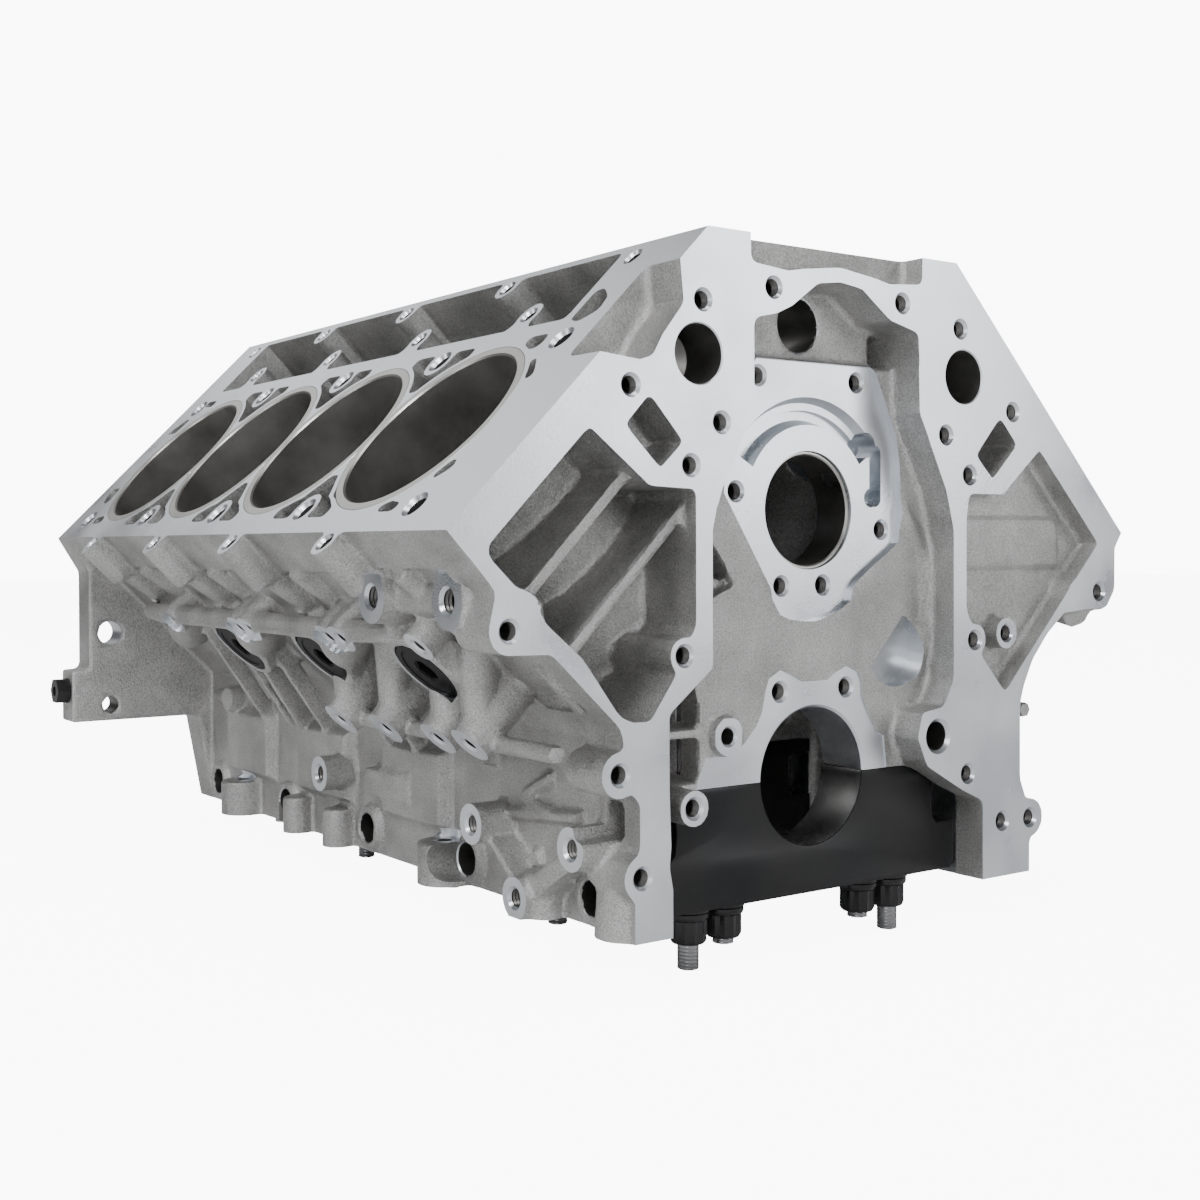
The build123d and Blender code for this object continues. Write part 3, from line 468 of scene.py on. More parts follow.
cast_aluminium = finish_of(
    "cast_aluminium", sand_grain, {"Grain Per Metre": 1000.0, "Unevenness": 0.3},
    ((0.38, 0.378, 0.375), (0.58, 0.577, 0.572)), "Blotch", (0.38, 0.52), 0.92, (0.9, 1.0),
    "Speckle", (0.62, 1.12),
)
machined_aluminium = tooled(
    "machined_aluminium", 1500.0, 0.03, (0.56, 0.59, 0.625), (0.75, 0.775, 0.81), (0.24, 0.4), 1.0, (0.1, 0.6)
)
# Drilled hole walls: fine tool marks over very dark tones. The dark tones are painted shade for the unlit
# inside of the holes.
drilled_aluminium_painted_shade = tooled(
    "drilled_aluminium_painted_shade", 2600.0, 0.1, (0.09, 0.088, 0.084), (0.2, 0.196, 0.19), (0.32, 0.46), 0.9, (0.06, 0.5)
)

# Where holes are drilled: face point, way in, and the hole's radius, depth, chamfer and thread pitch
inward = Vector((0, 1, 0))
flange_drill = 40
rail_hole = (4.1, 20, 1.6, 1.4)
cover_hole = (4.1, 16, 1.5, 1.4)
deck_hole = (4.1, 22, 1.5, 1.4)
head_bolt_hole = (5.7, 60, 1.9, 0)
bell_bolt_hole = (5.6, flange_drill, 1.4, 0)
rear_cover_hole = (3.5, 17, 1.2, 1.2)
shared_front_bolts = [
    (88.4, 230.6), (77.2, 174.4), (130.6, 188.9), (95.7, 153.9), (44.3, 240.3), (99.8, 66.3), (94.2, -4.5),
]
front_bolts = shared_front_bolts + [(-x, z) for x, z in shared_front_bolts]
front_bolts += [(-195.5, 80.8), (-137, 14.5), (-124.5, -33), (206, 90), (145, -33), (122, -32.5), (126, 69)]
plate_bolts = [(-49, 143.4), (-19, 96.6), (9.6, 96.6), (52, 125), (33.6, 201), (-34, 201)]
main_face_bolts = [(-23, 44), (23, 44)]
plate_depth = 22.3
main_face_depth = 19.2
boss_cap_depth = 13.9
drillings = [((x, front, z), inward, *rail_hole) for x, z in front_bolts]
drillings += [((x, front + plate_depth, z), inward, *cover_hole) for x, z in plate_bolts]
drillings += [((x, front + main_face_depth, z), inward, *cover_hole) for x, z in main_face_bolts]
drillings.append(((-61, front + boss_cap_depth, 25), inward, 4.0, 14, 1.2, 0))
upper_mounts = [(0, -23), (1, -56), (1, -42), (2, -53), (2, -39), (3, -48)]
lower_mounts = [(0, -31), (0, -2), (0, 51), (1, -10)]
skirt_bosses = [(0, -7, -22), (0, 40, -53), (1, -32, -23), (2, 28, -18)]
skirt_columns = [(15.0, 1, 17), (15.0, 4, -52), (9.5, 0, 35), (9.5, 2, 31), (9.5, 3, -25), (9.5, 3, 6)]
skirt_column_top = -40
plug_offset = 86.0
plug_height = 165.0
clear_of_face = 8
spot_faces = []
bracket_bosses = []
for side in (LEFT, RIGHT):
    bores = bore_stations(side)
    up, wall = bank_ways(side)
    outward = Vector((side, 0, 0))
    for y in head_bolt_stations(side):
        for across in (head_bolt_offset, -head_bolt_offset):
            drillings.append((bank(side, deck_height, across, y), -up, *head_bolt_hole))
        drillings.append((bank(side, deck_height, 116, y), -up, *deck_hole))
    for y in bores:
        for across in (-79, 83):
            drillings.append((bank(side, deck_height, across, y), -up, *deck_hole))
    for i, past in upper_mounts:
        place = bank(side, upper_mount_height, -upper_mount_face, bores[i] + past)
        drillings.append((place, -wall, 3.6, 16, 1.2, 1.3))
        spot_faces.append(rod(place, place + wall * clear_of_face, 11))
    for i, past in lower_mounts:
        place = bank(side, lower_mount_height, -lower_mount_face, bores[i] + past)
        drillings.append((place, -wall, 3.8, 17, 1.3, 1.4))
        spot_faces.append(rod(place, place + wall * clear_of_face, 12.5))
    for y in (main_stations[0] - 2, bores[0]):
        place = Vector((side * bracket_face, y, 93))
        bracket_bosses.append(rod(place - outward * 20, place + outward * 2.6, 12.8, sides=28))
        drillings.append((place, -outward, 5.2, 18, 1.6, 1.9))
        spot_faces.append(rod(place, place + outward * clear_of_face, 14.2, sides=32))
    for i, past, z in skirt_bosses:
        place = Vector((side * skirt_boss_face, main_stations[i] + past, z))
        drillings.append((place, -outward, 4.4, 18, 1.5, 1.7))
        spot_faces.append(rod(place, place + outward * clear_of_face, 11.5))
    for size, i, past in skirt_columns:
        foot = Vector((side * 131, main_stations[i] + past, pan_rail))
        through = size > 10
        drillings.append((foot, Vector((0, 0, 1)), 4.2, 24 if through else 16, 1.2, 0))
        if through:
            top = foot + Vector((0, 0, skirt_column_top - pan_rail))
            spot_faces.append(rod(top, top + Vector((0, 0, 5)), 11.5))
            drillings.append((top, Vector((0, 0, -1)), 3.4, 12, 1.0, 0))
    for x, z in ((198.0, 8.5), (205.0, 118.0), (150.0, 178.0), (110.0, 222.0)):
        drillings.append(((side * x, rear, z), -inward, *bell_bolt_hole))
    for x, z in ((68, 24), (74, -22), (36, 66), (44, 118), (48, 160)):
        drillings.append(((side * x, rear, z), -inward, *rear_cover_hole))

plate_outline = [
    (-60, 142.4), (-29.4, 95.6), (-28.4, 90), (-23.4, 82.4), (-17, 80), (-10, 79), (0, 78.4), (8, 80),
    (18, 83.5), (26, 88.5), (27.5, 94), (31, 98.5), (39, 104), (61, 118), (62.4, 126), (63, 140),
    (62.4, 160), (60, 174), (43, 209.5), (-36, 209.5), (-44, 203), (-57, 180),
]

# The cast body starts from the solid block. Faces that get machined carry stock, drilled holes are
# still solid metal, and the bolt columns, ribs, pads and lumps of the skin are added. The material
# slots are, in order, cast skin, machined face and drilled hole, the last with painted shade in its dark
# colour.
casting = put_in_scene("casting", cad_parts["block_casting"].data.copy())
casting.data.materials.clear()
for finish in (cast_aluminium, machined_aluminium, drilled_aluminium_painted_shade):
    casting.data.materials.append(finish)
stock_faces = [
    (Vector((0, -1, 0)), -front),
    (Vector((0, 1, 0)), rear),
    (Vector((0, 0, -1)), -pan_rail),
    (Vector((0, 0, 1)), top_height),
]
for side in (LEFT, RIGHT):
    up, wall = bank_ways(side)
    outward = Vector((side, 0, 0))
    stock_faces += [
        (up, deck_height), (outward, bracket_face), (outward, skirt_boss_face),
        (wall, upper_mount_face), (wall, lower_mount_face),
    ]
body = bmesh.new()
body.from_mesh(casting.data)
bmesh.ops.remove_doubles(body, verts=body.verts, dist=0.00001)
for corner in body.verts:
    shift = Vector()
    for normal, distance in stock_faces:
        if abs(normal.dot(corner.co) - distance * MM) < 0.00004:
            shift += normal * machining_stock * MM
    corner.co += shift

skin_details = list(bracket_bosses)
for place, way, radius, depth, _, _ in drillings:
    if depth == flange_drill or abs(way.z) > 0.9:
        continue
    recessed = way.y > 0.5 and place[1] > front + 1
    proud = -0.5 if recessed else machining_stock - 0.5
    place = Vector(place)
    skin_details.append(rod(place - way * proud, place + way * (depth + 4), radius + 1.2, sides=12))
for side in (LEFT, RIGHT):
    bores = bore_stations(side)
    wall = bank_ways(side)[1]
    for y in bores[:3]:
        seat = bank(side, plug_height, -plug_offset, y)
        skin_details.append(rod(seat - wall * 9, seat, 21.0))
    # Bolt columns that run down the bank wall from the deck, each with a thinner one beside it
    for y in bores:
        skin_details += [
            bank_rod(side, (deck_height, -79, y), (deck_height - 64, -67.5, y), 8.5, 7.0, 20),
            bank_rod(side, (deck_height - 26, -72, y - 30), (deck_height - 60, -66.5, y - 30), 6.0, 5.0, 16),
        ]
    # Ledge along the wall, bulge behind the front corner boss, and the foot of each mount
    skin_details += [
        bank_rod(side, (219.5, -69.5, bores[0] - 10), (219.5, -69.5, rear - 30), 2.6, 2.6, 12),
        rod((side * 191, front + 2, 84), (side * 190, front + 34, 91), 15.0, 13.5),
    ]
    for i, past in upper_mounts[1:]:
        y, height = bores[i] + past, upper_mount_height
        skin_details += [
            bank_rod(side, (height, -80, y), (165, -74, bores[i] - 12), 10.0, 15.0),
            bank_rod(side, (height, -76, y), (height, -90.5, y), 9.4),
        ]
    for i, past in lower_mounts:
        y, height = bores[i] + past, lower_mount_height
        skin_details += [
            bank_rod(side, (height, -96, y), (168, -66, y + 3), 8.5, 10.5, 20),
            bank_rod(side, (height, -92, y), (height, -107.5, y), 10.2),
        ]
    # Twin ribs down to the skirt, thin runners, the foot of the front corner, and small lumps
    for y in (front + 334, front + 348):
        skin_details.append(block_of(
            [(side * 160, y + 6, 46), (side * 134, y, 3), (side * 118, y, 3), (side * 118, y + 6, 46)],
            (0, 4.5, 0),
        ))
    skin_details += [
        rod((side * 127, front + 45, -12), (side * 127, front + 110, -18), 3.4, 2.6, 12),
        rod((side * 126, front + 70, 4), (side * 126, front + 96, -8), 3.0, 2.2, 12),
        rod((side * 126, front + 96, -8), (side * 127, front + 62, -14), 2.6, 2.6, 12),
        rod((side * 122, front + 16, pan_rail - 2), (side * 122, front + 16, -40), 15.0, 13.5),
    ]
    for past, z, size in ((84, -37, 6.5), (92, -41, 5.0), (196, -36, 6.0), (308, -37, 6.0), (420, -36, 5.5)):
        y = front + past
        skin_details.append(rod((side * 118, y, z), (side * (124 + size * 0.6), y, z), size, size * 0.6, 12))
    for past, height, size in ((97, 217, 3.6), (103, 214, 4.4), (106, 219, 3.0)):
        y = front + past
        skin_details.append(bank_rod(side, (height, -64, y), (height, -67 - size, y), size, size * 0.6, 12))

# Stock on the milled seats of the cam plate and the main bore, and the tunnel of the breather hole.
# After them, bare raised pads where a founder casts marks, and the steps and ridge of the recess.
half_round = [math.pi * k / 20 for k in range(21)]
skin_details += [
    across_block(plate_outline, plate_depth - machining_stock, plate_depth + 14),
    across_block(
        [(38 * math.cos(angle), 38 * math.sin(angle)) for angle in half_round],
        main_face_depth - machining_stock, main_face_depth + 12,
    ),
    rod((-5, front + 32, 228), (-5, front + 60, 228), 18.5, sides=32),
    across_block([(98, 105), (98, 131), (178, 131), (182, 127), (182, 105)], 9.6, 20),
    box_of(-133.2, -120, front + 203, front + 252, -27, -11),
    across_block([(43, 42), (60, 42), (80, 62), (83, 84), (66, 80), (52, 68), (43, 56)], 18.5, 34),
    across_block([(28, 209), (28, 233), (45, 228), (45, 209)], 24.0, 40),
]
ridge = [(64, 136), (79, 114), (82, 84), (78, 60), (71, 44)]
ridge_depth = 20.5
for (x_from, z_from), (x_to, z_to) in zip(ridge, ridge[1:]):
    y = front + ridge_depth
    skin_details.append(rod((x_from, y, z_from), (x_to, y, z_to), 4.8, 4.8, 12))
add_solids(body, skin_details)
for face in body.faces:
    face.material_index = 0
    face.smooth = True
body.to_mesh(casting.data)
body.free()

skin_faces = 50000
skin = casting.modifiers.new("skin", "REMESH")
skin.mode = "VOXEL"
skin.voxel_size = 1.7 * MM
soften = casting.modifiers.new("soften", "SMOOTH")
soften.factor = 0.5
soften.iterations = 6
settle(casting)
thin = casting.modifiers.new("thin", "DECIMATE")
thin.ratio = skin_faces / len(casting.data.polygons)
settle(casting)
keep_main_body(casting)

# Face milling first, then bores, ports and drilled holes
reach = 60.0
beyond = 40
wide = 400
slabs = [
    box_of(-wide, wide, front - reach, front, -200, wide),
    box_of(-wide, wide, rear, rear + reach, -200, wide),
    box_of(-wide, wide, front - beyond, rear + beyond, pan_rail - reach, pan_rail),
    box_of(-wide, wide, front - beyond, rear + beyond, top_height, top_height + reach),
]
for side in (LEFT, RIGHT):
    slabs.append(block_of(
        [bank(side, deck_height, across, front - beyond) for across in (-300, 300)]
        + [bank(side, deck_height, across, rear + beyond) for across in (300, -300)],
        bank_ways(side)[0] * reach,
    ))
machine(casting, slabs)

gallery_places = ((-62.0, 150.0), (62.0, 150.0), (0.0, 88.0))
dowel_x, dowel_z = 184, 146
end_plug_place = Vector((-224.5, rear - 11, 19))
cuts = [
    rod((0, front - 5, 0), (0, rear + 5, 0), main_bore, sides=96),
    rod((0, front - 5, cam_height), (0, rear + 5, cam_height), 30.05, sides=80),
    turned((0, rear + 5, 0), -inward, [(0, 53.5), (5, 53.5), (6.2, 52.3), (5 + 25, 52.3)], 96),
    box_of(-106.7, 106.7, front + 18.6, rear + 5, pan_rail - 6, 0.15),
]
for side in (LEFT, RIGHT):
    up, wall = bank_ways(side)
    for y in bore_stations(side):
        cuts.append(bank_rod(side, (107.6, 0, y), (deck_height + 10, 0, y), 58.05, sides=96))
        for way in (1, -1):
            lifter = bank(side, 195.6, SLANT * cam_height, y + way * 22)
            cuts.append(turned(lifter, -up, [(-3, 11.8), (0, 11.8), (1.0, 10.8), (72, 10.8)], 24))
    for y in bore_stations(side)[:3]:
        seat = bank(side, plug_height, -plug_offset, y)
        cuts.append(turned(seat, -wall, [(-4, 19.35), (0, 19.35), (0.2, 19.2), (7.2, 19.2)], 48))
    for y in main_stations:
        for x in stud_rows:
            cuts.append(rod((side * x, y, -1), (side * x, y, 45), stud_hole, sides=16))
        seat = (side * cross_bolt_seat, y, cross_bolt_height)
        cuts.append(drill(seat, (-side, 0, 0), 8.7, 23, 0.7, sides=32, mouth=20))
    cuts += [
        drill((side * 91, front, 205.5), inward, 14.0, 26, 0.6, sides=48),
        turned((side * 198, rear, 58), -inward, [(-5, 8.8), (0, 8.8), (0.8, 8.1), (30, 8.1)], 32),
        turned((side * dowel_x, rear, dowel_z), -inward, [(-5, 7.2), (0, 7.2), (0.6, 6.6), (14, 6.6)], 32),
    ]
cuts += [
    drill((-5, front + 24, 228), inward, 13.7, 46, 1.5, sides=48),
    drill((71, front, 17), inward, 7.6, 29, 1.8, sides=32),
    turned(end_plug_place, (1, 0, 0), [(-5, 8.0), (0, 8.0), (0.9, 7.1), (14, 7.1)], 24),
]
for x, z in gallery_places:
    cuts.append(turned((x, rear, z), -inward, [(-5, 7.9), (0, 7.9), (0.8, 7.1), (12, 7.1)], 24))
machine(casting, cuts)

# Milled recesses of the front: cam plate seat, main face, boss cap, round scoop and thrust groove
main_face_outline = [
    (-78, 0), (-72, 15), (-56, 15.5), (-47.3, 20), (-39.4, 28), (-35.4, 35), (-33.5, 44), (-31, 51),
    (-23, 55), (-15, 52), (-7.7, 48.4), (9.1, 48.4), (15, 52), (23, 55), (31, 51.5), (33.6, 46),
    (33.6, 39), (38, 30), (43.9, 20), (50, 17), (52, 0),
]
machine(casting, [
    across_block(plate_outline, -4, plate_depth),
    across_block(main_face_outline, -4, main_face_depth),
    rod((-61, front - 4, 25), (-61, front + boss_cap_depth, 25), 11.5),
    turned(
        (0, front + main_face_depth, 0), inward,
        [(-4, 36.3), (0, 36.3), (1.2, main_bore), (3, main_bore)], 96,
    ),
    turned((62.1, front - 0.5, 57.8), (-0.22, 1.0, 0.2), [(0, 19), (22, 19)], 64),
    rod((126, front - 4, 69), (126, front + 0.5, 69), 10.5),
])
groove_steps = 40
groove_profile = [
    (43.2, 20.0), (43.2, plate_depth), (46.0, 29.6), (50.4, 29.6), (50.8, 27.2), (54.5, 27.2),
    (57.2, plate_depth), (57.2, 20.0),
]
count = len(groove_profile)
groove_corners = []
for step in range(groove_steps + 1):
    angle = math.radians(34 + 117 * step / groove_steps)
    for radius, depth in groove_profile:
        x, z = radius * math.cos(angle), cam_height + radius * math.sin(angle)
        groove_corners.append((x, front + depth, z))
last = groove_steps * count
groove_faces = [tuple(range(count)), tuple(reversed(range(last, last + count)))]
for low in range(0, last, count):
    for i in range(count):
        j = (i + 1) % count
        groove_faces.append((low + j, low + i, low + count + i, low + count + j))
machine(casting, [(groove_corners, groove_faces)])
slot_x, slot_top, slot_foot, slot_radius = 47.5, 165, 141, 4.2
slot = []
for z, half_turn in ((slot_top, 0), (slot_foot, math.pi)):
    for k in range(9):
        angle = half_turn + math.pi * k / 8
        slot.append((slot_x + slot_radius * math.cos(angle), z + slot_radius * math.sin(angle)))
machine(casting, [
    across_block(slot, 18, 34.2),
    rod((41, front + 18, 169), (41, front + 42, 169), 6.6, sides=32),
    rod((44.4, front + 18, 141.5), (44.4, front + 36, 141.5), 5.0, sides=32),
])

# Relief round the cross bolt holes, left as cast
cored = []
relief_end = 150
for side in (LEFT, RIGHT):
    for y in main_stations:
        seat = (side * cross_bolt_seat, y, cross_bolt_height)
        cored.append(rod(seat, (side * relief_end, y, cross_bolt_height), 12.0, sides=40))
    near, far = sorted((side * cross_bolt_seat, side * relief_end))
    y = main_stations[3]
    cored.append(box_of(near, far, y - 6, y + 19, pan_rail - 9, -28))
machine(casting, [(corners, faces, [0] * len(faces)) for corners, faces in cored])
machine(casting, spot_faces)
machine(casting, [drill(*drilling) for drilling in drillings])
keep_main_body(casting)

# Edges are sharp where they turn and where a cutter met the skin, and flats between them shade evenly
casting.data.set_sharp_from_angle(angle=math.radians(32))
shape = bmesh.new()
shape.from_mesh(casting.data)
for edge in shape.edges:
    if len({face.material_index for face in edge.link_faces}) > 1:
        edge.smooth = False
shape.to_mesh(casting.data)
shape.free()
even_shading = casting.modifiers.new("even shading", "WEIGHTED_NORMAL")
even_shading.mode = "FACE_AREA"
even_shading.keep_sharp = True
settle(casting)
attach(casting, "root")
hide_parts("block_casting")

# Cylinder liners. Eight grey iron sleeves pressed into the casting, flat where neighbours meet,
# faced off with the deck, chamfered at the top of the bore and honed in a fine cross pattern.
liner_outer = 58.0
liner_bore = 52.4
liner_length = 140.0


def ring_of(start, way, rings, sides=96):
    """Closed ring turned about a line, from rows of distance along it and radius that close up."""
    faces = []
    for row in range(len(rings)):
        faces += faces_between(row * sides, (row + 1) % len(rings) * sides, sides)
    return turned_rows(start, way, rings, sides), faces


def chamfered_tube(start, way, outer, inner, length, chamfer, sides=96):
    """Plain sleeve with both ends chamfered inside and out."""
    edge = 0.4
    return ring_of(start, way, [
        (0, outer - edge), (edge, outer), (length - edge, outer), (length, outer - edge),
        (length, inner + chamfer), (length - chamfer, inner), (chamfer, inner), (0, inner + chamfer),
    ], sides)


# Hone cross: fine slanting scratches on the unrolled wall of a bore
hone_cross, hone_in, hone_out = new_group(
    "hone cross", [("Lines Per Metre", 2200.0), ("Slant", 0.5)], ["Height", "Cloud"]
)
hone_place = add_node(hone_cross, "ShaderNodeUVMap", uv_map="unrolled wall")
hone_lines = []
for way in (1, -1):
    hone_turn = add_node(hone_cross, "ShaderNodeVectorRotate", rotation_type="Z_AXIS")
    hone_angle = add_node(hone_cross, "ShaderNodeMath", operation="MULTIPLY")
    hone_angle.inputs[1].default_value = way
    hone_flat = add_node(hone_cross, "ShaderNodeVectorMath", operation="MULTIPLY")
    hone_flat.inputs[1].default_value = (0.04, 1.0, 1.0)
    hone_noise = add_node(hone_cross, "ShaderNodeTexNoise", Detail=2.0)
    link(
        hone_cross, (hone_in, "Slant", hone_angle, 0), (hone_place, "UV", hone_turn, "Vector"),
        (hone_angle, "Value", hone_turn, "Angle"), (hone_turn, "Vector", hone_flat, "Vector"),
        (hone_flat, "Vector", hone_noise, "Vector"), (hone_in, "Lines Per Metre", hone_noise, "Scale"),
    )
    hone_lines.append(hone_noise)
hone_sum = add_node(hone_cross, "ShaderNodeMath", operation="ADD")
hone_cloud = add_node(hone_cross, "ShaderNodeTexNoise", Scale=22.0, Detail=4.0)
hone_body = add_node(hone_cross, "ShaderNodeTexCoord")
link(
    hone_cross, (hone_lines[0], "Fac", hone_sum, 0), (hone_lines[1], "Fac", hone_sum, 1),
    (hone_body, "Object", hone_cloud, "Vector"), (hone_sum, "Value", hone_out, "Height"),
    (hone_cloud, "Fac", hone_out, "Cloud"),
)
honed_iron = finish_of(
    "honed_iron", hone_cross, {"Lines Per Metre": 2200.0, "Slant": 0.5},
    ((0.34, 0.335, 0.325), (0.52, 0.513, 0.50)), "Cloud", (0.3, 0.42), 0.95, (0.06, 0.6),
)


def shade(piece, angle=32):
    """Smooth faces with sharp edges above an angle."""
    for face in piece.data.polygons:
        face.use_smooth = True
    piece.data.set_sharp_from_angle(angle=math.radians(angle))


def hand_over(piece, slot, *stood_for):
    """Fix a finished piece to the block and hide the imported parts that it stands for. The slot is not used.
    """
    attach(piece, "root")
    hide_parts(*stood_for)


for side, bank_name in ((RIGHT, "right"), (LEFT, "left")):
    up = bank_ways(side)[0]
    bores = bore_stations(side)
    for number, y in enumerate(bores, 1):
        foot = bank(side, deck_height - liner_length, 0, y)
        liner = mesh_of(
            f"{bank_name}_liner_sleeve_{number}",
            [chamfered_tube(foot, up, liner_outer, liner_bore, liner_length, 0.9, 128)], 0, [honed_iron],
        )
        shape = bmesh.new()
        shape.from_mesh(liner.data)
        for way in (1, -1):
            flat = y + way * bore_pitch / 2
            if bores[0] < flat < bores[-1]:
                cut = bmesh.ops.bisect_plane(
                    shape, geom=shape.verts[:] + shape.edges[:] + shape.faces[:],
                    plane_co=(0, flat * MM, 0), plane_no=(0, way, 0), clear_outer=True,
                )
                rim = [part for part in cut["geom_cut"] if isinstance(part, bmesh.types.BMEdge)]
                bmesh.ops.holes_fill(shape, edges=rim)
        bmesh.ops.recalc_face_normals(shape, faces=shape.faces)
        wall_map = shape.loops.layers.uv.new("unrolled wall")
        across_way = Vector((-side * SLANT, 0, SLANT))
        for face in shape.faces:
            middle = face.calc_center_median() - foot * MM
            base = math.atan2(middle.y, middle.dot(across_way))
            for loop in face.loops:
                spot = loop.vert.co - foot * MM
                turn = math.atan2(spot.y, spot.dot(across_way))
                turn += 2 * math.pi * round((base - turn) / (2 * math.pi))
                loop[wall_map].uv = (turn * liner_bore * MM, spot.dot(up))
        shape.to_mesh(liner.data)
        shape.free()
        shade(liner)
        hand_over(liner, "liner", f"{bank_name}_liner_{number}")

# Main caps. Five black oxide steel caps, sawn and milled from bar, that close the main bearings.
# They sit in the register between the skirts, with relief notches in their ends.
black_oxide = tooled(
    "black_oxide_steel", 900.0, 0.05, (0.008, 0.009, 0.011), (0.018, 0.0175, 0.0175),
    (0.3, 0.46), 0.55, (0.05, 0.35),
)
bored_steel = tooled(
    "bored_steel", 1800.0, 0.02, (0.30, 0.30, 0.305), (0.42, 0.42, 0.425), (0.22, 0.34), 1.0, (0.04, 0.35)
)
cap_height = 59.0
cap_half_width = 106.4
cap_half_length = 15
lower_half = [math.pi + math.pi * k / 40 for k in range(41)]
for number, station in enumerate(main_stations, 1):
    outline = [(main_bore * math.cos(angle), main_bore * math.sin(angle)) for angle in lower_half]
    outline += [(cap_half_width + x, z) for x, z in (
        (0, 0), (0, -8), (-14, -8), (-17, -11), (-18, -20.5), (-17, -30), (-14, -33), (0, -33),
        (0, 3 - cap_height), (-3, -cap_height),
    )]
    outline += [(-x, z) for x, z in reversed(outline[len(lower_half):])]
    cap = mesh_of(
        f"main_cap_body_{number}",
        [block_of([(x, station - cap_half_length, z) for x, z in outline], (0, 2 * cap_half_length, 0))],
        0, [black_oxide, bored_steel],
    )
    edge_break = cap.modifiers.new("edges", "BEVEL")
    edge_break.width = 0.8 * MM
    edge_break.segments = 2
    edge_break.limit_method = "ANGLE"
    edge_break.angle_limit = math.radians(35)
    settle(cap)
    cap_holes = [
        rod((way * x, station, 1), (way * x, station, -cap_height - 1), stud_hole, sides=20)
        for x in stud_rows for way in (LEFT, RIGHT)
    ]
    for way in (LEFT, RIGHT):
        mouth = (way * (cap_half_width + 1), station, cross_bolt_height)
        cap_holes.append(rod(mouth, (way * (cap_half_width - 22), station, cross_bolt_height), 5.0, sides=20))
    machine(cap, cap_holes)
    for face in cap.data.polygons:
        middle = face.center
        if math.hypot(middle.x, middle.z) < (main_bore + 0.2) * MM and abs(face.normal.y) < 0.2:
            face.material_index = 1
    shade(cap, 30)
    hand_over(cap, "cap", f"main_cap_{number}")

# Main studs. Twenty ground steel studs with rolled threads, four in each web, longer in the outer
# rows. Each tree node makes one stud and sets it on every stud place.
ground_steel = tooled(
    "ground_steel", 2500.0, 0.08, (0.24, 0.24, 0.25), (0.38, 0.38, 0.39), (0.16, 0.26), 1.0, (0.03, 0.3)
)


def wire(tree, kind, *feeds, **values):
    """Add a maths or geometry node and link its inputs, in order, to sockets or fixed numbers."""
    made = add_node(tree, kind, **values)
    for slot, feed in enumerate(feeds):
        if isinstance(feed, bpy.types.NodeSocket):
            tree.links.new(feed, made.inputs[slot])
        elif feed is not None:
            made.inputs[slot].default_value = feed
    return made.outputs[0]


def new_maker(name, inputs):
    """Empty geometry tree with named inputs."""
    tree = bpy.data.node_groups.new(name, "GeometryNodeTree")
    tree.interface.new_socket("Geometry", in_out="INPUT", socket_type="NodeSocketGeometry")
    for label, kind, value in inputs:
        socket = tree.interface.new_socket(label, in_out="INPUT", socket_type=kind)
        if value is not None:
            socket.default_value = value
    tree.interface.new_socket("Geometry", in_out="OUTPUT", socket_type="NodeSocketGeometry")
    return tree, add_node(tree, "NodeGroupInput"), add_node(tree, "NodeGroupOutput")


def made_at(name, places, tree, values):
    """Mesh that a geometry tree makes on a set of points."""
    mesh = bpy.data.meshes.new(name)
    mesh.from_pydata([Vector(p) * MM for p in places], [], [])
    piece = put_in_scene(name, mesh)
    maker = piece.modifiers.new("maker", "NODES")
    maker.node_group = tree
    for item in tree.interface.items_tree:
        if item.item_type == "SOCKET" and item.in_out == "INPUT" and item.name in values:
            maker[item.identifier] = values[item.name]
    settle(piece)
    return piece


stud_maker, stud_in, stud_out = new_maker("threaded studs", [
    ("Radius", "NodeSocketFloat", 0.0054),
    ("Length", "NodeSocketFloat", 0.131),
    ("Thread Length", "NodeSocketFloat", 0.016),
    ("Thread Pitch", "NodeSocketFloat", 0.00175),
    ("Thread Depth", "NodeSocketFloat", 0.00022),
    ("Tip Chamfer", "NodeSocketFloat", 0.0009),
    ("Steel", "NodeSocketMaterial", None),
])


def stud_sum(operation, *feeds):
    """One step of arithmetic in the stud's tree."""
    return wire(stud_maker, "ShaderNodeMath", *feeds, operation=operation)


stud_rings = 40
stud_sizes = stud_in.outputs
blank = add_node(
    stud_maker, "GeometryNodeMeshCylinder",
    Vertices=20, Side_Segments=stud_rings, Radius=1.0, Depth=1.0,
)
stud_spot = add_node(stud_maker, "GeometryNodeInputPosition")
stud_axes = add_node(stud_maker, "ShaderNodeSeparateXYZ")
stud_maker.links.new(stud_spot.outputs["Position"], stud_axes.inputs[0])
stud_t = stud_sum("ADD", stud_axes.outputs["Z"], 0.5)
stud_far = stud_sum("GREATER_THAN", stud_t, 1 - 0.5 / stud_rings)
stud_near = stud_sum("MULTIPLY", stud_t, stud_sizes["Thread Length"])
stud_rest = stud_sum("SUBTRACT", stud_sizes["Length"], stud_near)
stud_z = stud_sum("MULTIPLY_ADD", stud_far, stud_rest, stud_near)
stud_angle = stud_sum("ARCTAN2", stud_axes.outputs["Y"], stud_axes.outputs["X"])
stud_turns = stud_sum("DIVIDE", stud_angle, 2 * math.pi)
stud_pitches = stud_sum("DIVIDE", stud_z, stud_sizes["Thread Pitch"])
stud_wave = stud_sum("PINGPONG", stud_sum("ADD", stud_pitches, stud_turns), 0.5)
stud_groove = stud_sum("MULTIPLY", stud_wave, 2.0)
stud_cut = stud_sum("MULTIPLY", stud_groove, stud_sizes["Thread Depth"])
stud_end = stud_sum("LESS_THAN", stud_t, 0.5 / stud_rings)
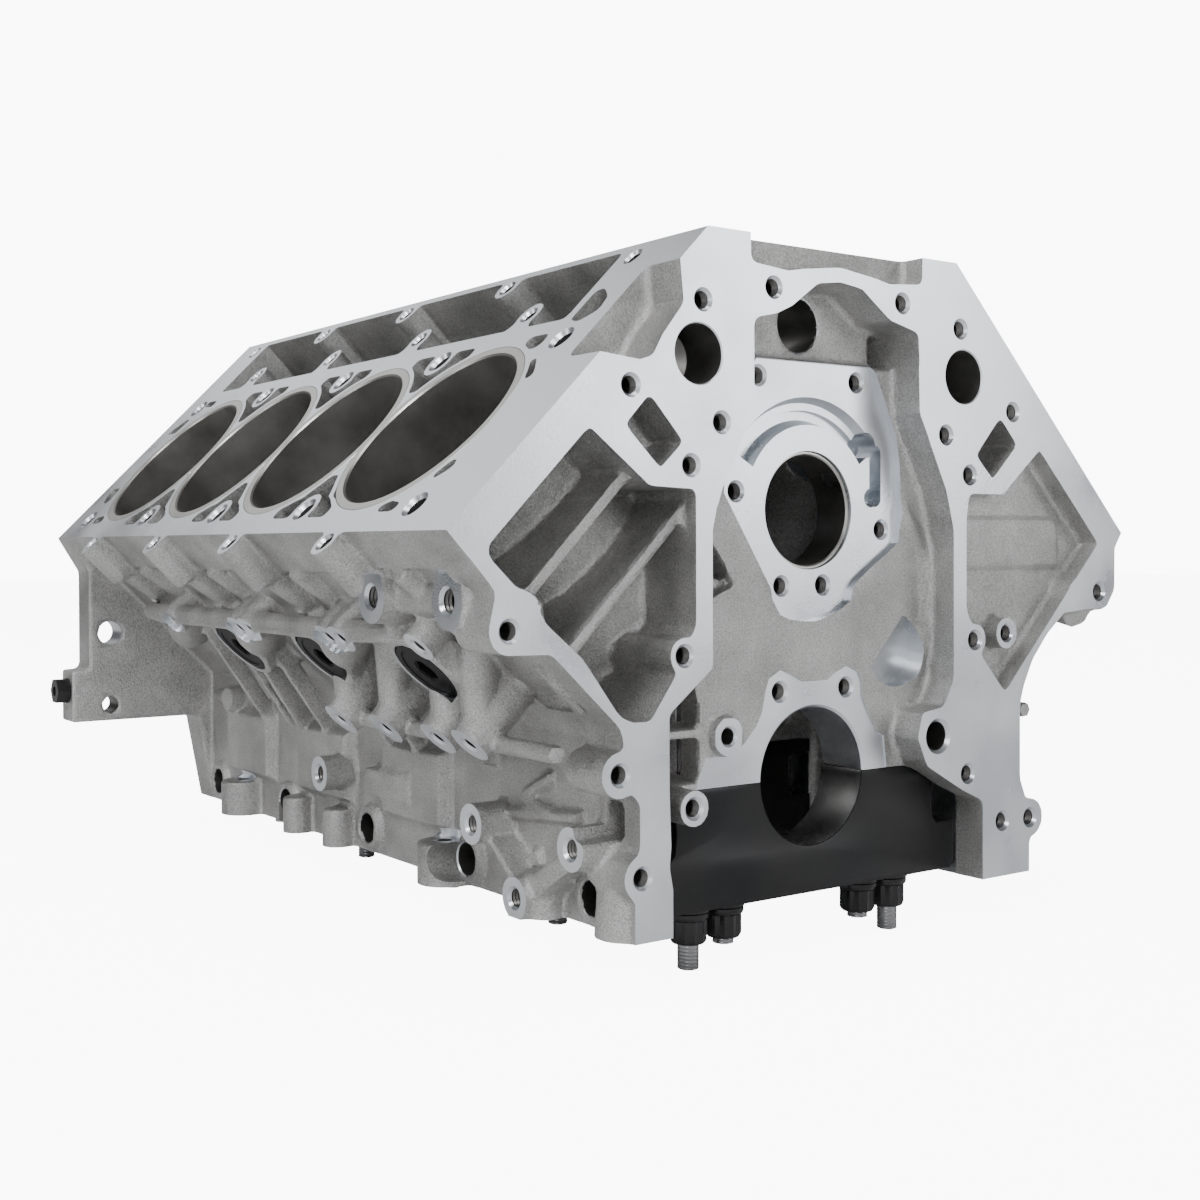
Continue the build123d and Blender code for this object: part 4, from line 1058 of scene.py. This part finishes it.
stud_nip = stud_sum("MULTIPLY", stud_end, stud_sizes["Tip Chamfer"])
stud_radius = stud_sum("SUBTRACT", stud_sum("SUBTRACT", stud_sizes["Radius"], stud_cut), stud_nip)
stud_place = wire(
    stud_maker, "ShaderNodeCombineXYZ",
    stud_sum("MULTIPLY", stud_axes.outputs["X"], stud_radius),
    stud_sum("MULTIPLY", stud_axes.outputs["Y"], stud_radius), stud_z,
)
stud_shape = wire(stud_maker, "GeometryNodeSetPosition", blank.outputs["Mesh"], None, stud_place)
stud_set = wire(
    stud_maker, "GeometryNodeInstanceOnPoints", stud_sizes["Geometry"], None, stud_shape
)
stud_whole = wire(stud_maker, "GeometryNodeRealizeInstances", stud_set)
stud_finished = wire(
    stud_maker, "GeometryNodeSetMaterial", stud_whole, None, stud_sizes["Steel"]
)
stud_maker.links.new(stud_finished, stud_out.inputs["Geometry"])
stud_top = 41.0
for name, stud_x, drop in (("outer_main_studs", 69.5, 90.0), ("inner_main_studs", 47.0, 80.5)):
    studs = made_at(
        name + "_threaded",
        [(way * stud_x, y, -drop) for y in main_stations for way in (LEFT, RIGHT)], stud_maker,
        {"Length": (drop + stud_top) * MM, "Thread Length": (drop - 59) * MM * 0.6, "Steel": ground_steel},
    )
    shade(studs, 40)
    hand_over(studs, "stud", name)

# Washers and nuts. Hard black washers with rounded rims under twelve point flanged nuts, turned
# to whatever angle they came tight at.
black_nut = tooled(
    "black_nut_steel", 1400.0, 0.1, (0.012, 0.012, 0.013), (0.026, 0.026, 0.028),
    (0.2, 0.34), 0.4, (0.04, 0.3),
)
stud_places = [(way * x, y) for y in main_stations for x in stud_rows for way in (LEFT, RIGHT)]
place_maker, place_in, place_out = new_maker("parts on studs", [
    ("Part", "NodeSocketObject", None),
    ("Turn Seed", "NodeSocketInt", 3),
    ("Turn Range", "NodeSocketFloat", math.pi / 3),
    ("Finish", "NodeSocketMaterial", None),
])
part_shape = add_node(place_maker, "GeometryNodeObjectInfo")
part_turn = add_node(place_maker, "FunctionNodeRandomValue", data_type="FLOAT")
link(
    place_maker, (place_in, "Part", part_shape, "Object"), (place_in, "Turn Range", part_turn, 3),
    (place_in, "Turn Seed", part_turn, "Seed"),
)
part_spin = wire(place_maker, "ShaderNodeCombineXYZ", 0.0, 0.0, part_turn.outputs[1])
part_set = add_node(place_maker, "GeometryNodeInstanceOnPoints")
link(
    place_maker, (place_in, "Geometry", part_set, "Points"),
    (part_shape, "Geometry", part_set, "Instance"),
)
place_maker.links.new(part_spin, part_set.inputs["Rotation"])
part_whole = wire(place_maker, "GeometryNodeRealizeInstances", part_set.outputs["Instances"])
part_finished = wire(
    place_maker, "GeometryNodeSetMaterial", part_whole, None, place_in.outputs["Finish"]
)
place_maker.links.new(part_finished, place_out.inputs["Geometry"])


def twelve_point(outer, inner):
    """Radius round a twelve point nut, out and in by turns."""
    return lambda angle: outer if round(angle / math.radians(15)) % 2 == 0 else inner


washer_shape = ring_of((0, 0, 0), (0, 0, -1), [
    (0, 5.5), (0, 10.3), (0.35, 10.8), (1.0, 11.0), (1.6, 11.0), (2.2, 10.8), (2.5, 10.3), (2.5, 5.9),
    (2.1, 5.5),
], 24)
nut_wall = twelve_point(9.2, 8.3)
nut_shape = ring_of((0, 0, 0), (0, 0, -1), [
    (0, 5.5), (0, 9.6), (0.5, 10.3), (2.2, 10.4), (3.4, 9.9), (4.2, nut_wall), (13.9, nut_wall),
    (15.0, twelve_point(8.5, 8.1)), (15.5, 7.9), (15.5, 6.6), (14.6, 5.5),
], 24)
for name, shape_of, top in (("main_washers", washer_shape, -59.0), ("main_nuts", nut_shape, -61.5)):
    pattern = mesh_of(name + "_pattern", [shape_of])
    shade(pattern, 25)
    piece = made_at(
        name + "_set", [(x, y, top) for x, y in stud_places], place_maker,
        {"Part": pattern, "Turn Seed": 3, "Finish": black_nut},
    )
    old = pattern.data
    bpy.data.objects.remove(pattern)
    bpy.data.meshes.remove(old)
    hand_over(piece, "nut", name)

# Cam bearings. Five thin steel backed shells pressed into the cam bores, with chamfered edges and
# an oil hole, plain grey bearing metal inside.
bearing_metal = tooled(
    "bearing_metal", 1600.0, 0.03, (0.34, 0.335, 0.32), (0.46, 0.455, 0.44), (0.26, 0.4), 1.0, (0.04, 0.4)
)
for number, station in enumerate(main_stations, 1):
    bearing = mesh_of(
        f"cam_shell_{number}",
        [chamfered_tube((0, station - 11, cam_height), (0, 1, 0), 29.95, 28.0, 22, 0.7)], 0,
        [bearing_metal, bearing_metal],
    )
    machine(bearing, [rod((0, station, cam_height - 24), (0, station, cam_height - 33), 2.4, sides=16)])
    shade(bearing)
    hand_over(bearing, "bearing", f"cam_bearing_{number}")

# Core plugs. Six black anodised screw plugs with a hexagon socket, three in each bank wall,
# screwed in until their faces lie level with the spot face.
anodised = tooled(
    "black_anodised", 1200.0, 0.15, (0.004, 0.004, 0.005), (0.009, 0.009, 0.01),
    (0.42, 0.55), 0.0, (0.03, 0.3),
)
anodised.node_tree.nodes["Principled BSDF"].inputs["Specular IOR Level"].default_value = 0.15


def hexagon(start, way, across_flats, depth):
    """Six sided bar or socket between a point and its end."""
    return rod(start, Vector(start) + Vector(way) * depth, across_flats / math.sqrt(3), sides=6)


for side, bank_name in ((RIGHT, "right"), (LEFT, "left")):
    wall = bank_ways(side)[1]
    for number, y in enumerate(bore_stations(side)[:3], 1):
        face_point = bank(side, plug_height, -plug_offset, y)
        plug = mesh_of(f"{bank_name}_core_plug_body_{number}", [turned(
            face_point - wall * 7, wall,
            [(0, 18.4), (0.6, 19.0), (5.8, 19.0), (6.8, 18.0), (6.8, 15.2), (6.2, 14.6)], 64,
        )], 0, [anodised, anodised])
        machine(plug, [
            hexagon(face_point - wall * 4.5, wall, 12.0, 6),
            turned(face_point - wall * 1.6, wall, [(0, 6.6), (3, 9.6)], 32),
        ])
        shade(plug)
        hand_over(plug, "plug", f"{bank_name}_core_plug_{number}")

# Flange end plug. A hexagon headed steel plug with a washer face, screwed into the end of the
# rear flange.
end_way = Vector((-1, 0, 0))
end_plug = mesh_of("flange_end_plug_body", [turned(
    end_plug_place - end_way * 13.5, end_way,
    [(0, 6.2), (0.8, 7.0), (13.5, 7.0), (13.5, 8.4), (14.6, 8.4), (14.6, 7.0), (15.2, 7.0)], 32,
)], 0, [black_nut])
end_head = mesh_of(
    "flange_end_plug_head", [hexagon(end_plug_place + end_way * 1.0, end_way, 15.4, 8)], 0, [black_nut]
)
machine(end_head, [turned(end_plug_place + end_way * 9.0, end_way, [(-1.5, 3.4), (1, 3.4)], 20)])
bpy.context.view_layer.objects.active = end_plug
with bpy.context.temp_override(active_object=end_plug, selected_editable_objects=[end_plug, end_head]):
    bpy.ops.object.join()
shade(end_plug)
hand_over(end_plug, "stud", "flange_end_plug")

# Bell housing dowels and gallery plugs. Ground dowel pins in the rear face, and three screw plugs
# with hexagon sockets that stop the oil galleries.
dowels = mesh_of("bell_housing_dowel_pins", [
    turned((side * dowel_x, rear - 14, dowel_z), inward, [(0, 5.7), (0.8, 6.5), (24.2, 6.5), (26, 5.2)], 40)
    for side in (LEFT, RIGHT)
], 0, [ground_steel])
shade(dowels)
hand_over(dowels, "dowel", "bell_housing_dowels")
gallery = mesh_of("gallery_plug_bodies", [
    turned((x, rear - 12, z), inward, [(0, 6.6), (0.5, 7.0), (10.8, 7.0), (11.6, 6.2)], 32)
    for x, z in gallery_places
], 0, [ground_steel, ground_steel])
machine(gallery, [hexagon((x, rear - 5, z), inward, 7.0, 6) for x, z in gallery_places])
shade(gallery)
hand_over(gallery, "stud", "gallery_plugs")
